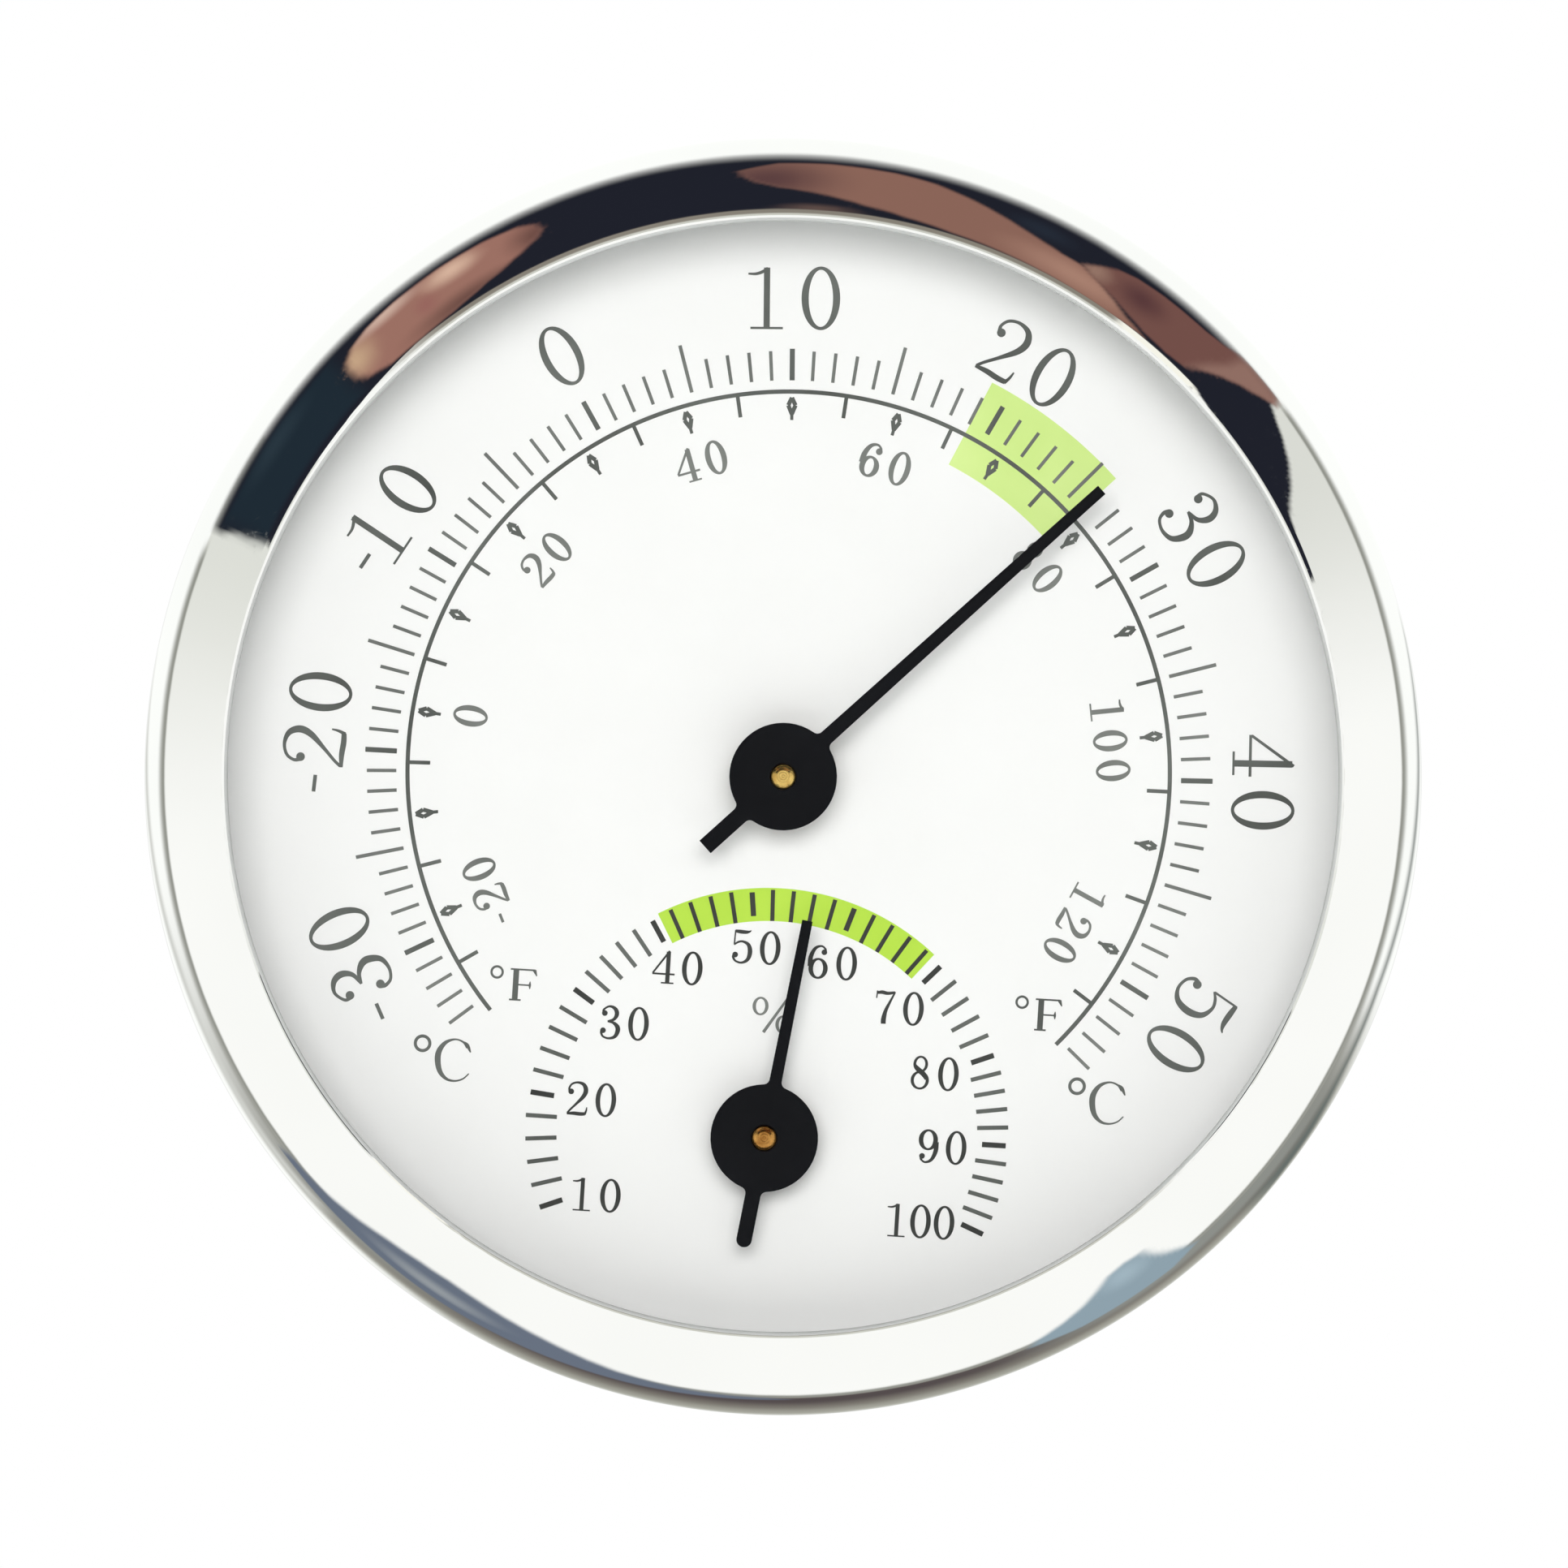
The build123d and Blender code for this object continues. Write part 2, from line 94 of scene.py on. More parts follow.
def spun(name, profile, segments):
    """A closed profile of (radius, depth) points turned about the case's axis."""
    vertices = []
    for step in range(segments):
        turn = math.tau * step / segments
        vertices += [(radius * math.sin(turn), depth, radius * math.cos(turn)) for radius, depth in profile]
    count = len(profile)
    faces = []
    for step in range(segments):
        here, there = step * count, (step + 1) % segments * count
        for i in range(count):
            j = (i + 1) % count
            faces.append((here + i, here + j, there + j, there + i))
    thing = new_object(name, vertices, faces, smooth=True)
    thing.data.set_sharp_from_angle(angle=math.radians(35))
    return thing


# ---------------------------------------------------------------- ink
class Print:
    """Shapes on the dial that are merged into one thin layer."""

    def __init__(self):
        self.shapes = []

    def strip(self, points, widths, place=lambda u, v: (u, v)):
        """A line through points, as wide at each one as widths says."""
        path = np.array(points, float)
        widths = np.broadcast_to(widths, len(path))
        along = np.gradient(path, axis=0)
        along /= np.linalg.norm(along, axis=1, keepdims=True)
        side = np.stack([-along[:, 1], along[:, 0]], 1) * widths[:, None] / 2
        left, right = path + side, path - side
        for i in range(len(path) - 1):
            self.polygon([right[i], right[i + 1], left[i + 1], left[i]], place)

    def polygon(self, corners, place=lambda u, v: (u, v)):
        self.shapes.append([place(*corner) for corner in corners])

    def ring(self, centre, outer, inner, place=lambda u, v: (u, v), count=40):
        """The space between two ellipses, given by their radii, with one centre."""
        outside = arc(centre, outer, 0, 360, count + 1)
        inside = arc(centre, inner, 0, 360, count + 1)
        for i in range(count):
            self.polygon([outside[i], outside[i + 1], inside[i + 1], inside[i]], place)

    def disc(self, centre, radius, place=lambda u, v: (u, v)):
        self.polygon(arc(centre, (radius, radius), 0, 345, 24), place)

    def merged(self):
        """The shapes' union as points and triangles."""
        points, faces = [], []
        for shape in self.shapes:
            faces.append(list(range(len(points), len(points) + len(shape))))
            points += [Vector(corner) for corner in shape]
        found = delaunay_2d_cdt(points, [], faces, 1, 1e-5, True)
        covered = [face for face, sources in zip(found[2], found[5]) if sources]
        return [(p.x, p.y) for p in found[0]], covered

    def laid(self, name, thickness, material, slot):
        """The layer as a closed, very thin solid on the dial's face, riding on the case."""
        points, top = self.merged()
        used = sorted({i for face in top for i in face})
        new = {old: i for i, old in enumerate(used)}
        top = [[new[i] for i in face] for face in top]
        count = len(used)
        sides = {}
        for face in top:
            for a, b in zip(face, face[1:] + face[:1]):
                sides[(a, b)] = sides.get((a, b), 0) + 1
        rim = [(a, b) for a, b in sides if (b, a) not in sides]
        faces = top + [[i + count for i in reversed(face)] for face in top]
        faces += [[b, a, a + count, b + count] for a, b in rim]
        vertices = [(points[i][0], DIAL_FRONT + thickness, points[i][1]) for i in used]
        vertices += [(points[i][0], DIAL_FRONT - PRINT_SUNK, points[i][1]) for i in used]
        layer = new_object(name, vertices, faces)
        layer.data.materials.append(material)
        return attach(layer, "case")


PRINT_SUNK = 0.004
INK_THICKNESS = 0.014
BAND_THICKNESS = 0.007


def polar(centre, radius, angle):
    """The point of the dial at a radius and a dial angle from a centre."""
    a = math.radians(angle)
    return centre[0] + radius * math.sin(a), centre[1] + radius * math.cos(a)


def tick(ink, centre, angle, inner, outer, width):
    """One straight mark along a radius."""
    ink.strip([polar(centre, inner, angle), polar(centre, outer, angle)], width)


def sweep(ink, centre, radius, start, stop, width):
    """A mark along a circle, between two dial angles."""
    count = int(abs(stop - start)) + 2
    ink.strip([polar(centre, radius, angle) for angle in np.linspace(start, stop, count)], width)


# ---------------------------------------------------------------- figures
# Every figure is drawn one unit high on a base line, centred on u = 0, from strips that swell and thin like a
# broad pen's, with ball ends and flat feet. A strip is a list of (u, v, width).
BOWL_THICK = 0.115
BOWL_THIN = 0.052
BALL = 0.07

STRIPS = {
    "1": [
        [(-0.30, 0.885, 0.03), (-0.17, 0.885, 0.045), (-0.06, 0.925, 0.05), (0.01, 0.985, 0.03)],
        [(0, 0.02, 0.1), (0, 0.985, 0.1)],
        [(-0.26, 0.018, 0.036), (0.26, 0.018, 0.036)],
    ],
    "2": [
        [(-0.24, 0.70, 0.07), (-0.265, 0.80, 0.05), (-0.19, 0.925, 0.05), (-0.02, 0.98, 0.055),
         (0.16, 0.925, 0.09), (0.235, 0.76, 0.115), (0.17, 0.57, 0.10), (-0.03, 0.34, 0.06),
         (-0.20, 0.16, 0.05), (-0.285, 0.05, 0.05)],
        [(-0.30, 0.035, 0.05), (-0.1, 0.05, 0.085), (0.1, 0.04, 0.09), (0.245, 0.05, 0.08)],
        [(0.235, 0.03, 0.06), (0.275, 0.14, 0.045), (0.29, 0.25, 0.025)],
    ],
    "3": [
        [(-0.215, 0.76, 0.07), (-0.215, 0.87, 0.05), (-0.05, 0.975, 0.052), (0.12, 0.915, 0.09),
         (0.185, 0.765, 0.108), (0.11, 0.60, 0.075), (-0.08, 0.52, 0.045)],
        [(-0.08, 0.525, 0.045), (0.09, 0.49, 0.07), (0.215, 0.38, 0.11), (0.235, 0.25, 0.115),
         (0.16, 0.08, 0.085), (-0.02, 0.015, 0.055), (-0.19, 0.06, 0.05), (-0.255, 0.17, 0.06),
         (-0.24, 0.25, 0.07)],
    ],
    "4": [
        [(0.15, 0.985, 0.05), (-0.33, 0.30, 0.045)],
        [(-0.34, 0.285, 0.045), (0.33, 0.285, 0.045)],
        [(0.12, 0.02, 0.105), (0.12, 0.96, 0.105)],
        [(-0.07, 0.018, 0.036), (0.31, 0.018, 0.036)],
    ],
    "5": [
        [(-0.22, 0.955, 0.07), (-0.06, 0.94, 0.095), (0.10, 0.935, 0.085), (0.20, 0.955, 0.05),
         (0.255, 0.995, 0.02)],
        [(-0.215, 0.98, 0.036), (-0.235, 0.55, 0.036)],
        [(-0.24, 0.54, 0.036), (-0.12, 0.625, 0.05), (0.02, 0.65, 0.055), (0.19, 0.56, 0.09),
         (0.25, 0.35, 0.115), (0.19, 0.12, 0.09), (0.02, 0.015, 0.055), (-0.16, 0.05, 0.05),
         (-0.245, 0.16, 0.06), (-0.225, 0.25, 0.07)],
    ],
    "6": [
        [(0.19, 0.80, 0.07), (0.185, 0.90, 0.05), (0.06, 0.98, 0.05), (-0.12, 0.90, 0.08),
         (-0.235, 0.65, 0.11), (-0.25, 0.36, 0.115)],
    ],
    "7": [
        [(-0.26, 0.92, 0.06), (-0.12, 0.945, 0.09), (0.05, 0.92, 0.08), (0.27, 0.955, 0.06)],
        [(-0.255, 0.985, 0.04), (-0.275, 0.76, 0.03)],
        [(0.275, 0.97, 0.04), (0.14, 0.68, 0.06), (0.02, 0.40, 0.09), (-0.03, 0.15, 0.12),
         (-0.03, 0.0, 0.12)],
    ],
    "8": [
        [(-0.17, 0.70, 0.09), (-0.04, 0.57, 0.125), (0.10, 0.46, 0.125), (0.205, 0.32, 0.10)],
    ],
    "C": [
        [(0.31, 0.80, 0.05), (0.21, 0.93, 0.045), (0.02, 0.985, 0.042), (-0.20, 0.90, 0.085),
         (-0.34, 0.70, 0.13), (-0.365, 0.48, 0.14), (-0.30, 0.22, 0.115), (-0.14, 0.05, 0.07),
         (0.06, 0.01, 0.045), (0.25, 0.07, 0.036), (0.385, 0.20, 0.03)],
        [(0.20, 0.945, 0.03), (0.31, 0.86, 0.085), (0.395, 0.70, 0.03)],
    ],
    "F": [
        [(0, 0.02, 0.15), (0, 0.98, 0.15)],
        [(-0.18, 0.018, 0.045), (0.19, 0.018, 0.045)],
        [(-0.18, 0.982, 0.045), (0.6, 0.982, 0.045)],
        [(0.575, 0.98, 0.10), (0.655, 0.80, 0.025)],
        [(0, 0.5, 0.04), (0.44, 0.5, 0.04)],
        [(0.455, 0.38, 0.02), (0.45, 0.5, 0.06), (0.455, 0.62, 0.02)],
    ],
    "%": [
        [(0.37, 0.98, 0.055), (-0.25, 0.0, 0.075)],
    ],
    "-": [
        [(-0.135, 0.43, 0.06), (0.135, 0.43, 0.06)],
    ],
}
# (centre, outer radii, inner radii) of the closed bowls, as (u, v) pairs.
BOWLS = {
    "0": [((0, 0.5), (0.31, 0.51), (0.31 - BOWL_THICK, 0.51 - BOWL_THIN))],
    "6": [((0, 0.305), (0.29, 0.315), (0.29 - BOWL_THICK, 0.315 - BOWL_THIN))],
    "8": [
        ((0, 0.755), (0.22, 0.25), (0.15, 0.25 - BOWL_THIN)),
        ((0, 0.27), (0.275, 0.28), (0.195, 0.28 - BOWL_THIN)),
    ],
    "%": [
        ((-0.37, 0.73), (0.225, 0.26), (0.145, 0.215)),
        ((0.30, 0.25), (0.225, 0.26), (0.145, 0.215)),
    ],
}
BALLS = {
    "2": [(-0.205, 0.70)],
    "3": [(-0.18, 0.765), (-0.205, 0.245)],
    "5": [(-0.19, 0.245)],
    "6": [(0.16, 0.80)],
}


def smoothed(strip, count=8):
    """A strip's points and widths along a smooth curve through all of them."""
    if len(strip) == 2:
        return [p[:2] for p in strip], [p[2] for p in strip]
    given = np.array([strip[0], *strip, strip[-1]], float)
    given[0] = 2 * given[1] - given[2]
    given[-1] = 2 * given[-2] - given[-3]
    rows = []
    for a, b, c, d in zip(given, given[1:], given[2:], given[3:]):
        square, cube = 2 * a - 5 * b + 4 * c - d, 3 * b - a - 3 * c + d
        for t in np.arange(count) / count:
            rows.append(0.5 * (2 * b + (c - a) * t + square * t**2 + cube * t**3))
    rows.append(given[-2])
    return [row[:2] for row in rows], [max(row[2], 0.01) for row in rows]


def figure(ink, character, place, weight):
    """One character, its lines thickened by weight. place turns its (u, v) into a point of the dial."""
    if character == "9":
        figure(ink, "6", lambda u, v: place(-u, 1 - v), weight)
        return
    for strip in STRIPS.get(character, []):
        points, widths = smoothed(strip)
        ink.strip(points, np.array(widths) * weight, place)
    for centre, outer, inner in BOWLS.get(character, []):
        inner = tuple(big - (big - small) * weight for big, small in zip(outer, inner))
        ink.ring(centre, outer, inner, place)
    for centre in BALLS.get(character, []):
        ink.disc(centre, BALL * weight, place)


def lettering(ink, text, middle, angle, height, advance, sign_gap=0.0, weight=1.0):
    """A word centred on a point of the dial, with its top towards a dial angle."""
    a = math.radians(angle)
    steps = [advance + sign_gap if character == "-" else advance for character in text[:-1]]
    start = -sum(steps) / 2
    for index, character in enumerate(text):
        shift = start + sum(steps[:index])

        def place(u, v, shift=shift):
            right, up = shift + u * height, (v - 0.5) * height
            return (
                middle[0] + right * math.cos(a) + up * math.sin(a),
                middle[1] - right * math.sin(a) + up * math.cos(a),
            )

        figure(ink, character, place, weight)


# ---------------------------------------------------------------- materials
def material_nodes(name):
    """A new material, its node tree and its Principled shader."""
    material = bpy.data.materials.new(name)
    material.use_nodes = True
    tree = material.node_tree
    shader = next(n for n in tree.nodes if n.type == "BSDF_PRINCIPLED")
    return material, tree, shader


def add(tree, kind, settings=None, **inputs):
    """A node with some of its settings and input values, and links where an input is an output socket."""
    made = tree.nodes.new(kind)
    for key, value in (settings or {}).items():
        setattr(made, key, value)
    for key, value in inputs.items():
        socket = made.inputs[key.replace("_", " ")]
        if isinstance(value, bpy.types.NodeSocket):
            tree.links.new(value, socket)
        else:
            socket.default_value = value
    return made


def place_of(tree, centre=(0, 0, 0), stretch=(1, 1, 1)):
    """The surface's own coordinates in metres, from a centre, stretched along the axes."""
    coordinates = add(tree, "ShaderNodeTexCoord").outputs["Object"]
    moved = add(tree, "ShaderNodeVectorMath", {"operation": "SUBTRACT"})
    tree.links.new(coordinates, moved.inputs[0])
    moved.inputs[1].default_value = centre
    return add(tree, "ShaderNodeMapping", Vector=moved.outputs[0], Scale=stretch).outputs[0]


def noise(tree, vector, size_mm, detail=3.0, roughness=0.55):
    """Noise between about 0.3 and 0.7, with features of a size."""
    made = add(tree, "ShaderNodeTexNoise", Vector=vector, Scale=1 / (size_mm * MM), Detail=detail)
    made.inputs["Roughness"].default_value = roughness
    return made.outputs["Fac"]


def ranged(tree, value, low, high, start=0.3, stop=0.7):
    """A value's span from start to stop, spread from low to high."""
    made = add(tree, "ShaderNodeMapRange", Value=value)
    made.inputs["From Min"].default_value = start
    made.inputs["From Max"].default_value = stop
    made.inputs["To Min"].default_value = low
    made.inputs["To Max"].default_value = high
    return made.outputs[0]


def blended(tree, value, first, second):
    """A colour between two, by a value from 0 to 1."""
    made = add(tree, "ShaderNodeMix", {"data_type": "RGBA"})
    tree.links.new(value, made.inputs[0])
    made.inputs[6].default_value = (*first, 1)
    made.inputs[7].default_value = (*second, 1)
    return made.outputs[2]


def bumped(tree, shader, height, distance_mm, strength=1.0):
    """Gives a shader a bump from a height of 0 to 1."""
    made = add(tree, "ShaderNodeBump", Height=height, Distance=distance_mm * MM, Strength=strength)
    tree.links.new(made.outputs[0], shader.inputs["Normal"])


def linear(red, green, blue):
    """A colour given as a screen shows it, 0 to 255, as linear light."""
    shares = [level / 255 for level in (red, green, blue)]
    return tuple(((share + 0.055) / 1.055) ** 2.4 if share > 0.04 else share / 12.92 for share in shares)


def worked_metal(name, light, dark, roughness, grain, grain_mm, bump_mm, centre=(0, 0, 0)):
    """A metal whose grain is noise stretched along the working direction."""
    material, tree, shader = material_nodes(name)
    shader.inputs["Metallic"].default_value = 1.0
    lines = noise(tree, place_of(tree, centre, grain), grain_mm, 4.0)
    clouds = noise(tree, place_of(tree), 9.0, 2.0)
    tree.links.new(blended(tree, ranged(tree, clouds, 0, 1), dark, light), shader.inputs["Base Color"])
    tree.links.new(ranged(tree, lines, *roughness), shader.inputs["Roughness"])
    bumped(tree, shader, lines, bump_mm)
    return material


def polished_steel():
    """Mirror bright with faint hand-polishing ripples and a few hairline marks."""
    material, tree, shader = material_nodes("polished_steel")
    shader.inputs["Metallic"].default_value = 1.0
    here = place_of(tree)
    clouds = noise(tree, here, 14.0, 2.0)
    tree.links.new(
        blended(tree, ranged(tree, clouds, 0, 1), (0.93, 0.94, 0.925), (0.97, 0.975, 0.965)),
        shader.inputs["Base Color"],
    )
    specks = noise(tree, here, 0.35, 6.0, 0.7)
    tree.links.new(ranged(tree, specks, 0.015, 0.12, 0.55, 0.8), shader.inputs["Roughness"])
    ripples = noise(tree, here, 3.2, 2.0)
    bumped(tree, shader, ripples, 0.006)
    return material


def clear_glass():
    """Clear plastic: a thin bloom takes its mirror away straight on, and it strengthens to the sides."""
    material, tree, shader = material_nodes("clear_glass")
    tree.nodes.remove(shader)
    sideways = add(tree, "ShaderNodeLayerWeight", Blend=0.5).outputs["Facing"]
    mirror = add(tree, "ShaderNodeMath", {"operation": "POWER"})
    tree.links.new(sideways, mirror.inputs[0])
    mirror.inputs[1].default_value = 5.0
    smudges = noise(tree, place_of(tree), 6.0, 4.0, 0.65)
    gloss = add(tree, "ShaderNodeBsdfGlossy", Color=(1, 1, 1, 1), Roughness=ranged(tree, smudges, 0.0, 0.06))
    clear = add(tree, "ShaderNodeBsdfTransparent", Color=(0.993, 0.994, 0.992, 1))
    both = add(tree, "ShaderNodeMixShader", Fac=mirror.outputs[0])
    tree.links.new(clear.outputs[0], both.inputs[1])
    tree.links.new(gloss.outputs[0], both.inputs[2])
    output = next(n for n in tree.nodes if n.type == "OUTPUT_MATERIAL")
    tree.links.new(both.outputs[0], output.inputs["Surface"])
    return material


def moulded(name, light, dark, roughness, bump_mm, size_mm=0.5, shine=0.5):
    """A plastic, rubber or paint: faint mottling and a fine orange-peel surface."""
    material, tree, shader = material_nodes(name)
    here = place_of(tree)
    clouds = noise(tree, here, 7.0, 3.0)
    grain = noise(tree, here, size_mm, 4.0)
    tree.links.new(blended(tree, ranged(tree, clouds, 0, 1), dark, light), shader.inputs["Base Color"])
    tree.links.new(ranged(tree, grain, roughness - 0.06, roughness + 0.06), shader.inputs["Roughness"])
    shader.inputs["Specular IOR Level"].default_value = shine
    bumped(tree, shader, grain, bump_mm)
    return material


def printed(name, light, dark, size_mm=0.09):
    """Screen ink: a slightly uneven film."""
    return moulded(name, light, dark, 0.5, 0.002, size_mm)


def turned_brass(movement, light, dark):
    """Brass with the fine rings that a lathe leaves round the arbor."""
    material, tree, shader = material_nodes(movement + "_brass")
    shader.inputs["Metallic"].default_value = 1.0
    x, z = AXES[movement]
    here = place_of(tree, (x * MM, 0, z * MM))
    rings = add(
        tree, "ShaderNodeTexWave", {"wave_type": "RINGS", "rings_direction": "Y"},
        Vector=here, Scale=2600.0, Distortion=0.6, Detail=2.0,
    ).outputs["Fac"]
    tarnish = noise(tree, here, 0.7, 3.0)
    tree.links.new(blended(tree, ranged(tree, tarnish, 0, 1), dark, light), shader.inputs["Base Color"])
    tree.links.new(ranged(tree, rings, 0.14, 0.3, 0, 1), shader.inputs["Roughness"])
    marks = add(tree, "ShaderNodeMath", {"operation": "ADD"})
    tree.links.new(rings, marks.inputs[0])
    tree.links.new(ranged(tree, noise(tree, here, 0.5, 2.0), 0, 3), marks.inputs[1])
    bumped(tree, shader, marks.outputs[0], 0.003)
    return material


DARK_INK = printed("dark_ink", linear(56, 58, 56), linear(38, 40, 38))
INK = printed("ink", linear(104, 108, 104), linear(68, 71, 68))
THIN_INK = printed("thin_ink", linear(126, 129, 125), linear(92, 95, 92))
LIGHT_GREEN = printed("light_green", linear(214, 239, 150), linear(200, 229, 132))
LIVELY_GREEN = printed("lively_green", linear(188, 227, 72), linear(174, 216, 58))
GOLD_BRASS = turned_brass("temperature", linear(246, 214, 130), linear(186, 142, 68))
BRONZE_BRASS = turned_brass("humidity", linear(238, 182, 102), linear(150, 98, 44))
PLATED = worked_metal(
    "plated_steel", (0.66, 0.66, 0.63), (0.52, 0.53, 0.53), (0.22, 0.42), (1, 1, 6), 0.5, 0.004,
)
MATERIALS = {
    "lens": clear_glass(),
    "lens_gasket": moulded("dark_rubber", (0.09, 0.092, 0.095), (0.06, 0.062, 0.065), 0.5, 0.01),
    "spacer_ring": moulded("smoke_plastic", (0.21, 0.22, 0.22), (0.17, 0.18, 0.18), 0.45, 0.006),
    "dial_support_ring": moulded("grey_plastic", (0.27, 0.28, 0.29), (0.22, 0.23, 0.24), 0.5, 0.01),
    "dial_plate": moulded("dial_enamel", (0.905, 0.905, 0.90), (0.89, 0.89, 0.884), 0.55, 0.003, 0.3),
    "back_cover": worked_metal(
        "satin_steel", (0.62, 0.63, 0.64), (0.50, 0.51, 0.52), (0.26, 0.44), (1, 1, 14), 0.9, 0.004,
    ),
}


# ---------------------------------------------------------------- case
SHOULDER_RADIUS = 2.83
CROWN_RADIUS = 5.75
BROW_RADIUS = 1.0
LIP_RADIUS = 0.2
BEZEL_SHEET = 0.45
CROWN_OUTER_TILT = 45.0
CROWN_INNER_TILT = 15.0
BROW_INNER_TILT = -8.0
SEAT_TILT = 18.1
BEZEL_SEGMENTS = 360


def bezel_profile():
    """(radius, depth) points round the sheet's section, from the side's rear edge over the front and back."""
    low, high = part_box("bezel")
    radius, rear, front = high.x / MM, -high.y / MM, -low.y / MM

    def beside(centre, step, tilt):
        """The centre of the next arc, which shares this one's tilt where they meet."""
        t = math.radians(tilt)
        return centre[0] + step * math.sin(t), centre[1] + step * math.cos(t)

    def rounded(centre, size, start_tilt, stop_tilt, count):
        return arc(centre, (size, size), 90 - start_tilt, 90 - stop_tilt, count)

    lean = SHOULDER_RADIUS - CROWN_RADIUS
    brow_centre_depth = front - BROW_RADIUS
    shoulder_centre = (radius - SHOULDER_RADIUS, 0)
    crown_centre = beside(shoulder_centre, lean, CROWN_OUTER_TILT)
    brow_centre = beside(crown_centre, CROWN_RADIUS - BROW_RADIUS, CROWN_INNER_TILT)
    rise = brow_centre_depth - brow_centre[1]
    shoulder_centre = (shoulder_centre[0], rise)
    crown_centre = (crown_centre[0], crown_centre[1] + rise)
    brow_centre = (brow_centre[0], brow_centre_depth)
    lip_centre = beside(brow_centre, BROW_RADIUS - LIP_RADIUS, BROW_INNER_TILT)
    lip = rounded(lip_centre, LIP_RADIUS, BROW_INNER_TILT, -90, 10)
    inner_crown = rounded(crown_centre, CROWN_RADIUS - BEZEL_SHEET, SEAT_TILT, CROWN_OUTER_TILT, 12)
    inner_shoulder = rounded(shoulder_centre, SHOULDER_RADIUS - BEZEL_SHEET, CROWN_OUTER_TILT, 90, 12)
    return [
        (radius, rear),
        *rounded(shoulder_centre, SHOULDER_RADIUS, 90, CROWN_OUTER_TILT, 24),
        *rounded(crown_centre, CROWN_RADIUS, CROWN_OUTER_TILT, CROWN_INNER_TILT, 30)[1:],
        *rounded(brow_centre, BROW_RADIUS, CROWN_INNER_TILT, BROW_INNER_TILT, 14)[1:],
        *lip[1:],
        (lip[-1][0], inner_crown[0][1]),
        *inner_crown,
        *inner_shoulder[1:],
        (radius - BEZEL_SHEET, rear),
    ]


def make_bezel():
    """The polished ring, with the sheet's cut edge left matt."""
    profile = bezel_profile()
    bezel = spun("bezel_ring", profile, BEZEL_SEGMENTS)
    cut_steel = moulded("cut_steel_edge", (0.60, 0.61, 0.60), (0.52, 0.53, 0.52), 0.7, 0.003, 0.12, shine=0.0)
    bezel.data.materials.append(polished_steel())
    bezel.data.materials.append(cut_steel)
    edge = min(profile)[0] + LIP_RADIUS * (1 + math.sin(math.radians(BROW_INNER_TILT)))
    for polygon in bezel.data.polygons:
        polygon.material_index = int(math.hypot(polygon.center.x, polygon.center.z) < edge * MM)
    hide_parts("bezel")
    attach(bezel, "case")


make_bezel()


# ---------------------------------------------------------------- printing on the dial
TEMPERATURE_CENTRE = (AXES["temperature"][0] + 0.25, AXES["temperature"][1] + 0.20)
HUMIDITY_CENTRE = (AXES["humidity"][0] + 0.10, AXES["humidity"][1] + 0.32)


def celsius_angle(degrees):
    """The dial angle of a temperature: the scale opens a little towards the hot end."""
    above = degrees - 10
    return -3.0 + 2.9664 * above + 0.001853 * above**2


def fahrenheit_angle(degrees):
    return celsius_angle((degrees - 32) * 5 / 9)


def humidity_angle(percent):
    """The dial angle of a humidity: even within each ten, closer together towards the dry end."""
    tens = (10, 20, 30, 40, 50, 60, 70, 80, 90, 100)
    return float(np.interp(percent, tens, (-112, -84, -57, -32, -7, 18, 43, 68, 90, 112)))


# The print is a little uneven. By degree Celsius: how far the figures stand to their right, how far they are
# turned clockwise, and how much nearer the minus sign stands. By degree Fahrenheit: how far to their right.
# By per cent: how far to the right and up.
CELSIUS_FIGURES = {
    -30: (0.20, 1.8, -0.78), -20: (0.44, 3.5, -0.78), -10: (-0.11, 1.8, -1.16), 0: (0.16, 0, 0),
}
FAHRENHEIT_SHIFTS = {0: 0.16, 40: 0.08, 60: 0.10, 120: -0.20}
HUMIDITY_NUDGES = {
    10: (0, -0.32), 20: (0.08, 0.12), 30: (0.08, 0.08), 40: (-0.16, 0.28), 50: (0, 0.24), 60: (0, 0.08),
    70: (0.12, 0), 80: (-0.12, 0.04), 90: (-0.16, -0.24), 100: (-0.04, 0.04),
}


# Radii of the scales' ticks and of the middles of their figures.
CELSIUS_TICKS = 18.6
CELSIUS_TEXT = 22.5
FAHRENHEIT_ARC = 18.07
FAHRENHEIT_TICKS = 17.0
FAHRENHEIT_TEXT = 15.32
HUMIDITY_TICKS = (9.97, 11.45)
HUMIDITY_TENS = (10.22, 11.35)
HUMIDITY_TEXT = 8.5


def print_celsius():
    """The outer temperature scale: a tick for each degree, and figures read from the dial's middle."""
    heavy, thin, figures = Print(), Print(), Print()
    for degree in range(-34, 55):
        angle = celsius_angle(degree)
        if degree % 10 == 0:
            tick(heavy, TEMPERATURE_CENTRE, angle, CELSIUS_TICKS, 20.1, 0.24)
        elif degree % 5 == 0:
            tick(thin, TEMPERATURE_CENTRE, angle, CELSIUS_TICKS, 20.9, 0.17)
        else:
            tick(thin, TEMPERATURE_CENTRE, angle, CELSIUS_TICKS, 20.0, 0.16)
    for degree in range(-30, 51, 10):
        right, turn, gap = CELSIUS_FIGURES.get(degree, (0.05, 0, 0))
        angle = celsius_angle(degree)
        middle = polar(TEMPERATURE_CENTRE, CELSIUS_TEXT, angle + math.degrees(right / CELSIUS_TEXT))
        lettering(figures, str(degree), middle, angle + turn, 2.96, 2.56, gap)
    heavy.laid("celsius_tens", INK_THICKNESS, INK, "scale_ink")
    thin.laid("celsius_degrees", INK_THICKNESS, THIN_INK, "scale_ink")
    figures.laid("celsius_figures", INK_THICKNESS, INK, "scale_ink")


